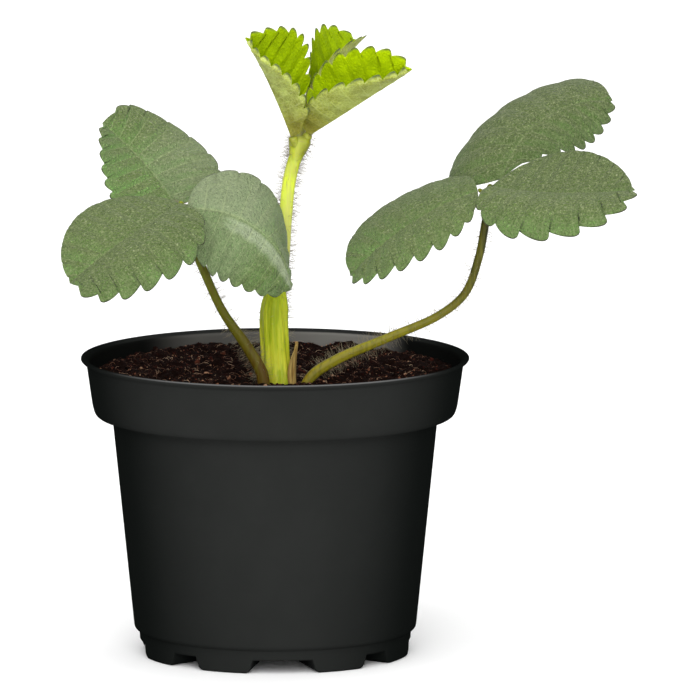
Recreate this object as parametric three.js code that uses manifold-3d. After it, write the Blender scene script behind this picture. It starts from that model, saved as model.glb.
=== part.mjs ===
// Potted strawberry plant, in millimetres, +Z up.
// A round black nursery pot holds crumbly soil. A short ribbed crown stands in the soil on its rootstock,
// and carries three hairy leaf stalks, each with three toothed leaflets: two spread leaves and a young one.
// The origin is on the pot's axis, in the plane that the pot stands on. -Y is the front.
import * as THREE from 'three';
import { mergeVertices } from 'three/addons/utils/BufferGeometryUtils.js';
import Module from 'manifold-3d';

const wasm = await Module();
wasm.setup();

// Clearance between pieces that touch on the real plant
const GAP = 0.3;

// Pot
const RIM_RADIUS = 60;
const POT_HEIGHT = 92.2;
const WALL = 1.2;
const COLLAR_TOP_RADIUS = 58.2;
const COLLAR_FOOT_RADIUS = 56;
const COLLAR_FOOT_Z = 74;
const BODY_TOP_RADIUS = 50.3;
const BODY_FOOT_RADIUS = 43.6;
const STEP_Z = 8.2;
const FOOT_RADIUS = 41.9;
const FLOOR_Z = 4;
const FLOOR_THICKNESS = 1.4;
const LIP_THICKNESS = 1.9;
const POT_SIDES = 48;

// Foot pads under the pot, with a channel between each two
const PAD_COUNT = 8;
const PAD_INNER_RADIUS = 17;
const PAD_TURN = 3.5;
const WIDE_CHANNEL_ANGLE = 26.8;
const NARROW_CHANNEL_ANGLE = 13.4;
const HUB_RADIUS = 12;
const DRAIN_HOLE_RADIUS = 3;
const DRAIN_HOLE_RING = 30;

// Soil
const SOIL_LEVEL = 86.9;
const SOIL_LUMP = 1.3;
const SOIL_DIP = 1.6;

// Crown, where the plant meets the soil
const CROWN = { x: 0.6, y: -12, foot: 74.9, top: 116.4, radius: 4.3, ribs: 9 };

// Leaflets
const BLADE = 0.7;
const TEETH = 8;

const degrees = THREE.MathUtils.degToRad;
const v3 = (x, y, z) => new THREE.Vector3(x, y, z);

// Solids

// Only position is kept, so that vertices in one place become one vertex
function toSolid(geometry) {
  const bare = geometry.clone();
  bare.deleteAttribute('normal');
  bare.deleteAttribute('uv');
  const merged = mergeVertices(bare, 1e-4);
  const mesh = new wasm.Mesh({
    numProp: 3,
    vertProperties: new Float32Array(merged.attributes.position.array),
    triVerts: new Uint32Array(merged.index.array),
  });
  return new wasm.Manifold(mesh);
}

function fromSolid(solid) {
  const mesh = solid.getMesh();
  const geometry = new THREE.BufferGeometry();
  geometry.setAttribute('position', new THREE.BufferAttribute(mesh.vertProperties, 3));
  geometry.setIndex(new THREE.BufferAttribute(mesh.triVerts, 1));
  return geometry;
}

const join = (solids) => solids.reduce((whole, next) => whole.add(next));

function standingLathe(points, sides) {
  const profile = points.map(([radius, z]) => new THREE.Vector2(radius, z));
  const geometry = new THREE.LatheGeometry(profile, sides);
  return geometry.rotateX(Math.PI / 2);
}

function upright(geometry, x, y, z) {
  return geometry.rotateX(Math.PI / 2).translate(x, y, z);
}

// A closed round rod along a curve, whose radius changes along it and, for ribs, around it.
// `reach` pushes both of its ends out.
function taperedRod(curve, radiusAt, sides, steps, { ribAt = () => 1, reach = 0 } = {}) {
  const frames = curve.computeFrenetFrames(steps, false);
  const positions = [];
  const triangles = [];
  const centres = [];
  for (let i = 0; i <= steps; i++) {
    const along = i / steps;
    const centre = curve.getPointAt(along);
    if (i === 0) centre.addScaledVector(frames.tangents[0], -reach);
    if (i === steps) centre.addScaledVector(frames.tangents[steps], reach);
    centres.push(centre);
    for (let j = 0; j < sides; j++) {
      const turn = (2 * Math.PI * j) / sides;
      const radius = radiusAt(along) * ribAt(turn, along);
      const point = centre.clone()
        .addScaledVector(frames.normals[i], radius * Math.cos(turn))
        .addScaledVector(frames.binormals[i], radius * Math.sin(turn));
      positions.push(point.x, point.y, point.z);
    }
  }
  for (let i = 0; i < steps; i++) {
    for (let j = 0; j < sides; j++) {
      const a = i * sides + j;
      const b = i * sides + ((j + 1) % sides);
      triangles.push(a, b, a + sides, b, b + sides, a + sides);
    }
  }
  const start = positions.length / 3;
  positions.push(...centres[0].toArray(), ...centres[steps].toArray());
  for (let j = 0; j < sides; j++) {
    const next = (j + 1) % sides;
    triangles.push(start, next, j);
    triangles.push(start + 1, steps * sides + j, steps * sides + next);
  }
  const geometry = new THREE.BufferGeometry();
  geometry.setAttribute('position', new THREE.Float32BufferAttribute(positions, 3));
  geometry.setIndex(triangles);
  return geometry;
}

// Pot

// Radius of the body's outside, between the step at its foot and the collar
function bodyRadius(z) {
  const share = (z - STEP_Z) / (COLLAR_FOOT_Z - STEP_Z);
  return THREE.MathUtils.lerp(BODY_FOOT_RADIUS, BODY_TOP_RADIUS, share);
}

function collarRadius(z) {
  const share = (z - COLLAR_FOOT_Z) / (POT_HEIGHT - LIP_THICKNESS - COLLAR_FOOT_Z);
  return THREE.MathUtils.lerp(COLLAR_FOOT_RADIUS, COLLAR_TOP_RADIUS, share);
}

function potProfile() {
  const lipFoot = POT_HEIGHT - LIP_THICKNESS;
  const outside = [
    [0, FLOOR_Z],
    [FOOT_RADIUS, FLOOR_Z],
    [BODY_FOOT_RADIUS - 0.7, STEP_Z - 1],
    [BODY_FOOT_RADIUS, STEP_Z],
    [bodyRadius(COLLAR_FOOT_Z - 1), COLLAR_FOOT_Z - 1],
    [BODY_TOP_RADIUS + 0.6, COLLAR_FOOT_Z - 0.2],
    [COLLAR_FOOT_RADIUS - 1.4, COLLAR_FOOT_Z],
    [COLLAR_FOOT_RADIUS - 0.3, COLLAR_FOOT_Z + 0.6],
    [collarRadius(COLLAR_FOOT_Z + 1.8), COLLAR_FOOT_Z + 1.8],
    [COLLAR_TOP_RADIUS, lipFoot],
    [RIM_RADIUS - 0.5, POT_HEIGHT - 1.1],
    [RIM_RADIUS, POT_HEIGHT - 0.6],
    [RIM_RADIUS - 0.1, POT_HEIGHT - 0.2],
    [RIM_RADIUS - 0.5, POT_HEIGHT],
  ];
  const inside = [
    [COLLAR_TOP_RADIUS + 0.2, POT_HEIGHT],
    [COLLAR_TOP_RADIUS - WALL + 0.2, POT_HEIGHT - 0.7],
    [collarRadius(COLLAR_FOOT_Z + 3) - WALL, COLLAR_FOOT_Z + 3],
    [COLLAR_FOOT_RADIUS - WALL - 1, COLLAR_FOOT_Z + WALL],
    [BODY_TOP_RADIUS - 0.3, COLLAR_FOOT_Z + WALL],
    [bodyRadius(COLLAR_FOOT_Z) - WALL, COLLAR_FOOT_Z + 0.2],
    [BODY_FOOT_RADIUS - WALL, STEP_Z + 0.4],
    [FOOT_RADIUS - WALL + 0.1, FLOOR_Z + FLOOR_THICKNESS],
    [0, FLOOR_Z + FLOOR_THICKNESS],
  ];
  return outside.concat(inside);
}

function sectorPlate(innerRadius, outerRadius, fromAngle, toAngle, bottom, top) {
  const shape = new THREE.Shape();
  shape.absarc(0, 0, outerRadius, fromAngle, toAngle, false);
  shape.absarc(0, 0, innerRadius, toAngle, fromAngle, true);
  shape.closePath();
  const geometry = new THREE.ExtrudeGeometry(shape, {
    depth: top - bottom,
    bevelEnabled: false,
    curveSegments: 4,
  });
  return toSolid(geometry.translate(0, 0, bottom));
}

// Wide channels lie at the front, back and sides, and narrow ones at the corners between them
function padAngles(index) {
  const middle = degrees((360 / PAD_COUNT) * (index + 0.5) + PAD_TURN);
  const half = degrees(360 / PAD_COUNT) / 2;
  const towardsEven = degrees(index % 2 === 0 ? WIDE_CHANNEL_ANGLE : NARROW_CHANNEL_ANGLE) / 2;
  const towardsOdd = degrees(index % 2 === 0 ? NARROW_CHANNEL_ANGLE : WIDE_CHANNEL_ANGLE) / 2;
  return [middle - half + towardsEven, middle + half - towardsOdd];
}

// Each pad is a hollow dish that is open to the inside of the pot
function buildPot() {
  let pot = toSolid(standingLathe(potProfile(), POT_SIDES));
  const hub = new THREE.CylinderGeometry(HUB_RADIUS, HUB_RADIUS, FLOOR_Z + 0.5, 24);
  pot = pot.add(toSolid(upright(hub, 0, 0, (FLOOR_Z + 0.5) / 2)));
  const inset = WALL / FOOT_RADIUS;
  for (let i = 0; i < PAD_COUNT; i++) {
    const [from, to] = padAngles(i);
    pot = pot.add(sectorPlate(PAD_INNER_RADIUS, FOOT_RADIUS - 0.2, from, to, 0, FLOOR_Z + 0.5));
    pot = pot.subtract(sectorPlate(
      PAD_INNER_RADIUS + WALL, FOOT_RADIUS - 0.2 - WALL,
      from + inset, to - inset, WALL, FLOOR_Z + FLOOR_THICKNESS + 1,
    ));
  }
  for (let i = 0; i < PAD_COUNT; i++) {
    const angle = degrees((360 / PAD_COUNT) * i + PAD_TURN);
    const drill = new THREE.CylinderGeometry(DRAIN_HOLE_RADIUS, DRAIN_HOLE_RADIUS, 6, 12);
    const x = DRAIN_HOLE_RING * Math.cos(angle);
    const y = DRAIN_HOLE_RING * Math.sin(angle);
    pot = pot.subtract(toSolid(upright(drill, x, y, FLOOR_Z + 1)));
  }
  return pot;
}

// Soil

// Height of the lumpy surface: a few crossing ripples, and a dip where the plant is set
function soilHeight(x, y) {
  const ripple = 0.45 * Math.sin(x * 0.19 + 1.3) * Math.cos(y * 0.23 - 0.4)
    + 0.35 * Math.sin(x * 0.41 - y * 0.33 + 2.1)
    + 0.25 * Math.sin(x * 0.62 + y * 0.71 + 0.6);
  const distance = Math.hypot(x - CROWN.x, y - CROWN.y);
  const dip = SOIL_DIP * Math.exp(-((distance / 13) ** 2));
  return SOIL_LEVEL + SOIL_LUMP * ripple - dip;
}

function buildSoil(holes) {
  const rings = 12;
  const bodyTop = COLLAR_FOOT_Z + WALL + GAP;
  const topRadius = collarRadius(SOIL_LEVEL) - WALL - GAP - 0.1;
  const side = [
    [0, FLOOR_Z + FLOOR_THICKNESS + GAP],
    [FOOT_RADIUS - WALL - GAP - 0.3, FLOOR_Z + FLOOR_THICKNESS + GAP],
    [BODY_FOOT_RADIUS - WALL - GAP - 0.1, STEP_Z + 0.8],
    [BODY_TOP_RADIUS - WALL - GAP - 0.2, bodyTop - 0.6],
    [BODY_TOP_RADIUS - WALL + 0.2, bodyTop],
    [COLLAR_FOOT_RADIUS - WALL - GAP - 1.4, bodyTop],
    [COLLAR_FOOT_RADIUS - WALL - GAP - 0.2, bodyTop + 1.8],
  ];
  const top = [];
  for (let i = 0; i < rings; i++) {
    top.push([topRadius * (1 - i / rings), SOIL_LEVEL]);
  }
  top.push([0, SOIL_LEVEL]);
  const geometry = standingLathe(side.concat(top), 42);
  const position = geometry.attributes.position;
  for (let i = 0; i < position.count; i++) {
    if (position.getZ(i) > SOIL_LEVEL - 0.01) {
      const x = position.getX(i);
      const y = position.getY(i);
      const edge = THREE.MathUtils.smoothstep(Math.hypot(x, y), topRadius - 3, topRadius);
      position.setZ(i, THREE.MathUtils.lerp(soilHeight(x, y), SOIL_LEVEL - 0.5, edge));
    }
  }
  let soil = toSolid(geometry);
  for (const hole of holes) {
    soil = soil.subtract(hole);
  }
  return soil;
}

// Crown, rootstock and roots

function crownCurve() {
  return new THREE.CatmullRomCurve3([
    v3(CROWN.x, CROWN.y, CROWN.foot),
    v3(CROWN.x, CROWN.y, SOIL_LEVEL - 2),
    v3(CROWN.x - 0.4, CROWN.y, SOIL_LEVEL + 10),
    v3(CROWN.x - 0.8, CROWN.y, SOIL_LEVEL + 20),
    v3(CROWN.x - 0.2, CROWN.y, CROWN.top),
  ]);
}

// Stout at the soil, even above it, and drawn in at the top round the young leaf's stalk
function crownRadius(along, spare = 0) {
  const swell = 0.9 * Math.exp(-(((along - 0.2) / 0.12) ** 2));
  const shoulder = 1.35 * THREE.MathUtils.smoothstep(along, 0.8, 1);
  return CROWN.radius + swell - shoulder + spare;
}

const RIB_HEIGHT = 0.045;
const crownRib = (turn) => 1 + RIB_HEIGHT * Math.cos(CROWN.ribs * turn);

function buildCrown(socket) {
  const column = taperedRod(crownCurve(), crownRadius, 2 * CROWN.ribs, 12, { ribAt: crownRib });
  return toSolid(column).subtract(socket);
}

// A stout rootstock under the crown and roots that fan out and down from it
const ROOT_COUNT = 8;
const ROOTSTOCK = { top: CROWN.foot - GAP, bottom: 58, radius: 4.6 };

function rootCurves() {
  const curves = [];
  for (let i = 0; i < ROOT_COUNT; i++) {
    const angle = degrees((360 / ROOT_COUNT) * i + 14 * Math.sin(2.4 * i));
    const reach = 23 + 6 * Math.sin(1.7 * i + 0.5);
    const depth = ROOTSTOCK.bottom - 13 - 33 * ((i * 0.37) % 1);
    const start = ROOTSTOCK.top - 6 - 9 * ((i * 0.61) % 1);
    const place = (distance, z, sway) => v3(
      CROWN.x + distance * Math.cos(angle + sway),
      CROWN.y + distance * Math.sin(angle + sway) + 0.35 * distance,
      z,
    );
    curves.push(new THREE.CatmullRomCurve3([
      place(1, start, 0),
      place(reach * 0.4, start - 5, 0.1),
      place(reach * 0.75, (start + depth) / 2, -0.1),
      place(reach, depth, 0.15),
    ]));
  }
  return curves;
}

function rootSystem(spare) {
  const middle = (ROOTSTOCK.top + ROOTSTOCK.bottom) / 2;
  const stock = new THREE.CatmullRomCurve3([
    v3(CROWN.x, CROWN.y, ROOTSTOCK.bottom),
    v3(CROWN.x, CROWN.y + 0.3, middle),
    v3(CROWN.x, CROWN.y, ROOTSTOCK.top),
  ]);
  const bulge = (along) => 0.72 + 0.28 * Math.sin(Math.PI * (0.15 + 0.7 * along));
  const stockRadius = (along) => ROOTSTOCK.radius * bulge(along) + spare;
  const solids = [toSolid(taperedRod(stock, stockRadius, 12, 5, { reach: spare }))];
  const rootRadius = (along) => THREE.MathUtils.lerp(1.3, 0.55, along) + 1.2 * spare;
  for (const curve of rootCurves()) {
    solids.push(toSolid(taperedRod(curve, rootRadius, 6, 6, { reach: spare })));
  }
  return join(solids);
}

// Papery scale that hugs the right of the crown, widest at mid-height, with a pointed top
const SCALE = {
  foot: SOIL_LEVEL - 3.5, height: 15.5, radius: 5.75, thickness: 0.6,
  facing: -12, halfAngle: 46,
};

function scalePoint(along, across, layer) {
  const taper = Math.sqrt(1 - 0.93 * along ** 3);
  const halfWidth = SCALE.halfAngle * (0.75 + 0.25 * Math.sin(Math.PI * along)) * taper;
  const angle = degrees(SCALE.facing + across * halfWidth);
  const flare = 0.35 * along + 0.5 * Math.sin(2.5 * along) * across ** 2;
  const radius = SCALE.radius + flare + layer * SCALE.thickness;
  const droop = 0.8 * across ** 2 * along;
  return v3(
    CROWN.x + radius * Math.cos(angle),
    CROWN.y + radius * Math.sin(angle),
    SCALE.foot + SCALE.height * along - droop,
  );
}

function buildStipule() {
  const rows = 10;
  const columns = 6;
  const pairs = [];
  for (let i = 0; i <= rows; i++) {
    for (let j = 0; j <= columns; j++) {
      const across = (2 * j) / columns - 1;
      pairs.push([scalePoint(i / rows, across, 0), scalePoint(i / rows, across, 1)]);
    }
  }
  return gridShell(pairs, rows, columns);
}

// Closed sheet from a grid of paired points, inner and outer, split alike on both faces
function gridShell(pairs, rows, columns) {
  const positions = [];
  for (const layer of [0, 1]) {
    for (const pair of pairs) {
      positions.push(pair[layer].x, pair[layer].y, pair[layer].z);
    }
  }
  const count = pairs.length;
  const triangles = [];
  const at = (i, j) => i * (columns + 1) + j;
  for (let i = 0; i < rows; i++) {
    for (let j = 0; j < columns; j++) {
      const a = at(i, j);
      const b = at(i, j + 1);
      const c = at(i + 1, j + 1);
      const d = at(i + 1, j);
      triangles.push(a, c, b, a, d, c);
      triangles.push(a + count, b + count, c + count, a + count, c + count, d + count);
    }
  }
  const border = [];
  for (let j = 0; j < columns; j++) border.push(at(0, j));
  for (let i = 0; i < rows; i++) border.push(at(i, columns));
  for (let j = columns; j > 0; j--) border.push(at(rows, j));
  for (let i = rows; i > 0; i--) border.push(at(i, 0));
  border.forEach((a, k) => {
    const b = border[(k + 1) % border.length];
    triangles.push(a, b, b + count, a, b + count, a + count);
  });
  const geometry = new THREE.BufferGeometry();
  geometry.setAttribute('position', new THREE.Float32BufferAttribute(positions, 3));
  geometry.setIndex(triangles);
  return toSolid(geometry);
}

// Leaflets

// Each leaflet's midrib starts at `base`, heads along a compass angle (0 is +X, 90 is +Y), and rises from
// the level by `rise`. Along its length it turns by `turn` and droops by `droop`. `roll` lifts its left half
// and `twist` is the roll that it gains. `fold` is how steeply each half leaves the midrib, `open` how much
// that has changed at the tip, `curl` how far the slope has changed at the margin, and `nod` how far the
// teeth bend down. Each of these, the half's `width`, the fullness of its foot and of its tip (`full` and
// `blunt`, lower is fuller) and the lobe that reaches behind the base are given as [left, right], seen from
// above with the tip ahead. `broad` above 1 widens the leaflet towards its foot.
const LEAFLETS = {
  leaflet_left_front: {
    base: [-28.9, -36.8, 145], length: 47.8, width: [22, 20.5],
    heading: 236, turn: -38, rise: -13, droop: 26, roll: -4, twist: -18,
    fold: [5, 12], open: [8, 9], curl: [-60, -14], nod: [10, 90],
    broad: 1.01, full: [1.19, 0.97], blunt: [0.48, 1.1], lobe: [2, 0.9],
  },
  leaflet_left_back: {
    base: [-30.5, -24.1, 142.3], length: 37.2, width: [20.2, 20.6],
    heading: 113, turn: 67, rise: 36, droop: -8, roll: -18, twist: -4,
    fold: [18, 23], open: [-6, 4], curl: [-11, -37], nod: [10, 10],
    broad: 1.05, full: [0.75, 0.66], blunt: [0.66, 0.44], lobe: [6.9, 5.3],
  },
  leaflet_left_right: {
    base: [-26.6, -32.9, 142.8], length: 46.5, width: [19.9, 20.4],
    heading: -25, turn: 67, rise: 9, droop: 92, roll: 49, twist: -10,
    fold: [0, -19], open: [-3, -10], curl: [-13, -18], nod: [10, 10],
    broad: 0.99, full: [0.84, 0.7], blunt: [0.88, 0.42], lobe: [2, 4.1],
  },
  leaflet_right_left: {
    base: [62.3, -13.6, 145.7], length: 47.8, width: [17.9, 20.4],
    heading: 180, turn: 0, rise: -19, droop: 30, roll: -18, twist: -2,
    fold: [-6, 14], open: [13, 14], curl: [-29, -41], nod: [10, 90],
    broad: 1.08, full: [0.72, 0.85], blunt: [0.72, 1.1], lobe: [-1.1, 0.9],
  },
  leaflet_right_back: {
    base: [69.7, -4.6, 148.7], length: 51.4, width: [27.9, 14.9],
    heading: 60, turn: -43, rise: 56, droop: 61, roll: 20, twist: 16,
    fold: [4, -4], open: [4, -7], curl: [-84, -48], nod: [90, 15],
    broad: 0.8, full: [0.84, 1.5], blunt: [1.1, 1.01], lobe: [15.2, -6.8],
  },
  leaflet_right_front: {
    base: [66.6, -18, 147.8], length: 47.5, width: [20.6, 21.3],
    heading: -38, turn: 33, rise: -4, droop: -11, roll: 9, twist: 2,
    fold: [22, 4], open: [2, 2], curl: [7, -72], nod: [90, 10],
    broad: 1.06, full: [1, 1.17], blunt: [1.04, 0.92], lobe: [-2.7, 4],
  },
  young_leaflet_left: {
    base: [5.4, -12.2, 162.3], length: 36.8, width: [15, 16.2],
    heading: 216, turn: 5, rise: 66, droop: 11, roll: -39, twist: -32,
    fold: [45, 52], open: [-21, 4], curl: [46, 2], nod: [-60, 5],
    broad: 0.65, full: [0.72, 0.68], blunt: [0.85, 0.96], lobe: [0.5, -7.5],
  },
  young_leaflet_right: {
    base: [10.8, -10, 162.8], length: 43.3, width: [16.6, 14.6],
    heading: -36, turn: 7, rise: 30, droop: -3, roll: 4, twist: 37,
    fold: [72, 34], open: [-2, -10], curl: [20, 46], nod: [5, -70],
    broad: 0.82, full: [0.82, 1], blunt: [0.77, 0.91], lobe: [2, 3],
  },
  young_leaflet_back: {
    base: [8.3, -4.2, 164.3], length: 40.7, width: [15.2, 14.4],
    heading: 67, turn: -17, rise: 37, droop: 5, roll: 15, twist: -1,
    fold: [84, 87], open: [-60, -47], curl: [41, 25], nod: [5, 5],
    broad: 0.93, full: [0.85, 1.17], blunt: [0.75, 0.95], lobe: [-0.6, 1.5],
  },
};
const LEFT = 0;
const RIGHT = 1;
const TOOTH_DEPTH = { spread: 2.3, young: 2 };
const PLEAT = { spread: 0.5, young: 0.8 };

// The midrib's line is worked out to a little past the tip, as a share of its length
const OVERRUN = 1.1;

// Place, forward, left and up directions at a distance along the midrib
function midribFrames(leaf) {
  const steps = 40;
  const frames = [];
  const place = v3(...leaf.base);
  for (let i = 0; i <= steps; i++) {
    const along = (OVERRUN * i) / steps;
    const here = directions(leaf, along);
    frames.push({ distance: along * leaf.length, place: place.clone(), ...here });
    const half = directions(leaf, along + OVERRUN / steps / 2);
    place.addScaledVector(half.forward, (OVERRUN / steps) * leaf.length);
  }
  return frames;
}

function directions(leaf, along) {
  const heading = degrees(leaf.heading + leaf.turn * along);
  const rise = degrees(leaf.rise - leaf.droop * along);
  const roll = degrees(leaf.roll + leaf.twist * along);
  const level = Math.cos(rise);
  const forward = v3(level * Math.cos(heading), level * Math.sin(heading), Math.sin(rise));
  const beside = v3(-Math.sin(heading), Math.cos(heading), 0);
  const above = forward.clone().cross(beside);
  const left = beside.clone().multiplyScalar(Math.cos(roll)).addScaledVector(above, Math.sin(roll));
  const up = above.multiplyScalar(Math.cos(roll)).addScaledVector(beside, -Math.sin(roll));
  return { forward, left, up };
}

// Bends a point of the flat leaflet into its place: `x` along the midrib, `y` out from it, `lift` above
function bend(leaf, frames, side, x, y, lift) {
  const last = frames.length - 1;
  const spacing = frames[1].distance;
  const i = THREE.MathUtils.clamp(Math.floor(x / spacing), 0, last - 1);
  const share = THREE.MathUtils.clamp(x / spacing - i, 0, 1);
  const mix = (name) => frames[i][name].clone().lerp(frames[i + 1][name], share);
  const along = THREE.MathUtils.clamp(x / leaf.length, 0, OVERRUN);
  const fold = degrees(leaf.fold[side] + leaf.open[side] * along);
  const bendRate = degrees(leaf.curl[side]) / leaf.width[side];
  const slope = fold + bendRate * y;
  const out = (Math.sin(slope) - Math.sin(fold)) / bendRate;
  const height = (Math.cos(fold) - Math.cos(slope)) / bendRate;
  const sign = side === LEFT ? 1 : -1;
  return mix('place')
    .addScaledVector(mix('forward'), Math.min(x, 0))
    .addScaledVector(mix('left'), sign * (out - lift * Math.sin(slope)))
    .addScaledVector(mix('up'), height + lift * Math.cos(slope));
}

// Smooth edge of the flat leaflet, without its teeth: `t` runs from 0 at the base to 1 at the tip
function smoothEdge(leaf, side, t, depth) {
  const along = (1 - Math.cos(Math.PI * t)) / 2;
  const fullness = t < 0.5 ? leaf.full[side] : leaf.blunt[side];
  const swell = Math.sin(Math.PI * THREE.MathUtils.clamp(t, 0, 1)) ** fullness;
  const x = (leaf.length - 0.6 * depth) * along ** leaf.broad - leaf.lobe[side] * swell * (1 - along);
  return [x, (leaf.width[side] - depth) * swell];
}

// Margin of the flat leaflet. Whole values of `vein` are tooth tips and half values the notches between.
// The first stretch, up to 0.5, is plain, and the last ends in the tip tooth.
function margin(leaf, side, vein, depth) {
  const plain = 0.16;
  const tipTooth = 0.035;
  if (vein <= 0.5) {
    const [x, y] = smoothEdge(leaf, side, plain * 2 * vein, depth);
    return { x, y, drop: 0 };
  }
  const tooth = Math.min(Math.round(vein), TEETH + 1);
  const phase = vein - (tooth - 0.5);
  const forward = phase + 0.85 * phase * (1 - phase);
  const edgeAt = (w) => plain + ((1 - tipTooth - plain) * (w - 0.5)) / TEETH;
  if (tooth > TEETH) {
    const [x, y] = smoothEdge(leaf, side, 1 - tipTooth * (1 - 2 * phase), depth);
    return { x: x + 2 * phase * 0.6 * depth, y, drop: 0 };
  }
  const t = edgeAt(tooth - 0.5 + forward);
  const [x, y] = smoothEdge(leaf, side, t, depth);
  const [ahead, aheadY] = smoothEdge(leaf, side, t + 0.01, depth);
  const [behind, behindY] = smoothEdge(leaf, side, t - 0.01, depth);
  const size = Math.hypot(ahead - behind, aheadY - behindY);
  const reach = depth * (1 - Math.abs(2 * phase - 1) ** 1.3);
  const nod = degrees(leaf.nod[side]);
  return {
    x: x - (reach * Math.cos(nod) * (aheadY - behindY)) / size,
    y: y + (reach * Math.cos(nod) * (ahead - behind)) / size,
    drop: reach * Math.sin(nod),
  };
}

// Where the vein for a place on the margin leaves the midrib
const veinFoot = (leaf, vein) => leaf.length * (1 - (1 - vein / (TEETH + 1)) ** 1.12);

// Mid-surface point at a vein value and a share of the way from the midrib to the margin
function bladePoint(leaf, frames, side, vein, share, shape) {
  const foot = veinFoot(leaf, vein);
  const edge = margin(leaf, side, vein, shape.tooth);
  const between = 0.5 - 0.5 * Math.cos(2 * Math.PI * vein);
  const pleat = shape.pleat * between * Math.min(1, 2.2 * share) * (1 - 0.55 * share ** 2);
  const x = THREE.MathUtils.lerp(foot, edge.x, share);
  return bend(leaf, frames, side, x, edge.y * share, pleat - edge.drop * share ** 4);
}

// Both faces of a leaflet have the same triangles, and a rim joins them round the toothed margin
function buildLeaflet(name) {
  const leaf = LEAFLETS[name];
  const age = name.startsWith('young') ? 'young' : 'spread';
  const shape = { tooth: TOOTH_DEPTH[age], pleat: PLEAT[age] };
  const frames = midribFrames(leaf);
  const veins = [0.25];
  for (let vein = 0.5; vein <= TEETH + 0.5; vein += 0.5) veins.push(vein);
  const shares = [0, 0.35, 0.7, 1];
  const middle = [];
  const add = (point) => middle.push(point) - 1;
  const base = add(bladePoint(leaf, frames, LEFT, 0, 0, shape));
  const tip = add(bladePoint(leaf, frames, LEFT, TEETH + 1, 1, shape));
  const rib = veins.map((vein) => add(bladePoint(leaf, frames, LEFT, vein, 0, shape)));
  const lines = [LEFT, RIGHT].map((side) => veins.map((vein, i) => shares.map((share) => (
    share === 0 ? rib[i] : add(bladePoint(leaf, frames, side, vein, share, shape))
  ))));
  const faces = [];
  const addFace = (side, a, b, c) => faces.push(side === LEFT ? [a, b, c] : [a, c, b]);
  for (const side of [LEFT, RIGHT]) {
    const last = veins.length - 1;
    for (let j = 0; j < shares.length - 1; j++) {
      addFace(side, base, lines[side][0][j], lines[side][0][j + 1]);
      for (let i = 0; i < last; i++) {
        const here = lines[side][i];
        const next = lines[side][i + 1];
        addFace(side, here[j], next[j], next[j + 1]);
        addFace(side, here[j], next[j + 1], here[j + 1]);
      }
      addFace(side, lines[side][last][j], tip, lines[side][last][j + 1]);
    }
  }
  const edgeOf = (side) => lines[side].map((line) => line[shares.length - 1]);
  const rim = [base, ...edgeOf(RIGHT), tip, ...edgeOf(LEFT).reverse()];
  return thicken(middle, faces, rim);
}

function thicken(middle, faces, rim) {
  const normals = middle.map(() => v3(0, 0, 0));
  for (const [a, b, c] of faces) {
    const first = middle[b].clone().sub(middle[a]);
    const second = middle[c].clone().sub(middle[a]);
    const normal = first.cross(second);
    for (const corner of [a, b, c]) normals[corner].add(normal);
  }
  const positions = [];
  for (const half of [BLADE / 2, -BLADE / 2]) {
    middle.forEach((point, i) => {
      const moved = point.clone().addScaledVector(normals[i].clone().normalize(), half);
      positions.push(moved.x, moved.y, moved.z);
    });
  }
  const count = middle.length;
  const triangles = [];
  for (const [a, b, c] of faces) {
    triangles.push(a, b, c, a + count, c + count, b + count);
  }
  rim.forEach((a, k) => {
    const b = rim[(k + 1) % rim.length];
    triangles.push(a, a + count, b, b, a + count, b + count);
  });
  const geometry = new THREE.BufferGeometry();
  geometry.setAttribute('position', new THREE.Float32BufferAttribute(positions, 3));
  geometry.setIndex(triangles);
  return toSolid(geometry);
}

// Leaf stalks

// Each stalk runs through these points, and then forks into a short stalklet for each of its leaflets.
// `radius` is that of its foot and its top, and `fork` that of a stalklet's two ends. Between the stalklets
// a rounded neck stands on the fork, as long as `neck`.
const STALKS = {
  petiole_left: {
    points: [
      [-2.6, -19.2, 77.9], [-3.2, -19.4, 83.9], [-4, -19.4, 89.9], [-8.3, -19.8, 97.9],
      [-15.9, -21.5, 109.4], [-22.3, -24.5, 123.9], [-27, -28, 135.9], [-29, -29.5, 139.9],
    ],
    radius: [2.1, 1.35],
    fork: [1.1, 0.65],
    neck: 0.5,
    leaflets: ['leaflet_left_front', 'leaflet_left_back', 'leaflet_left_right'],
  },
  petiole_right: {
    points: [
      [9.2, -13.6, 77.9], [9.2, -13.6, 83.9], [11.4, -13.3, 88.1], [19, -12.7, 93.1],
      [35.2, -12, 100], [50.6, -11.5, 106.8], [58.5, -11.5, 113.6], [62.8, -11.8, 125.2],
      [65, -12, 136.9], [66.6, -12, 142.3],
    ],
    radius: [1.75, 1.3],
    fork: [1.05, 0.65],
    neck: 0.5,
    leaflets: ['leaflet_right_left', 'leaflet_right_back', 'leaflet_right_front'],
  },
  petiole_centre: {
    points: [
      [1, -12, 107.4], [1.4, -12, 115.9], [2.4, -11.8, 122.9], [3.2, -11.2, 135.9],
      [4.4, -10.6, 147.9], [6, -9.8, 154.4], [7.6, -9.2, 158.5],
    ],
    radius: [2, 2.1],
    fork: [2.3, 1.4],
    neck: 3.6,
    leaflets: ['young_leaflet_left', 'young_leaflet_right', 'young_leaflet_back'],
  },
};

const stalkCurve = (stalk) => new THREE.CatmullRomCurve3(stalk.points.map((point) => v3(...point)));

function stalkRadius(stalk, along) {
  return THREE.MathUtils.lerp(stalk.radius[0], stalk.radius[1], THREE.MathUtils.smoothstep(along, 0, 0.6));
}

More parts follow.
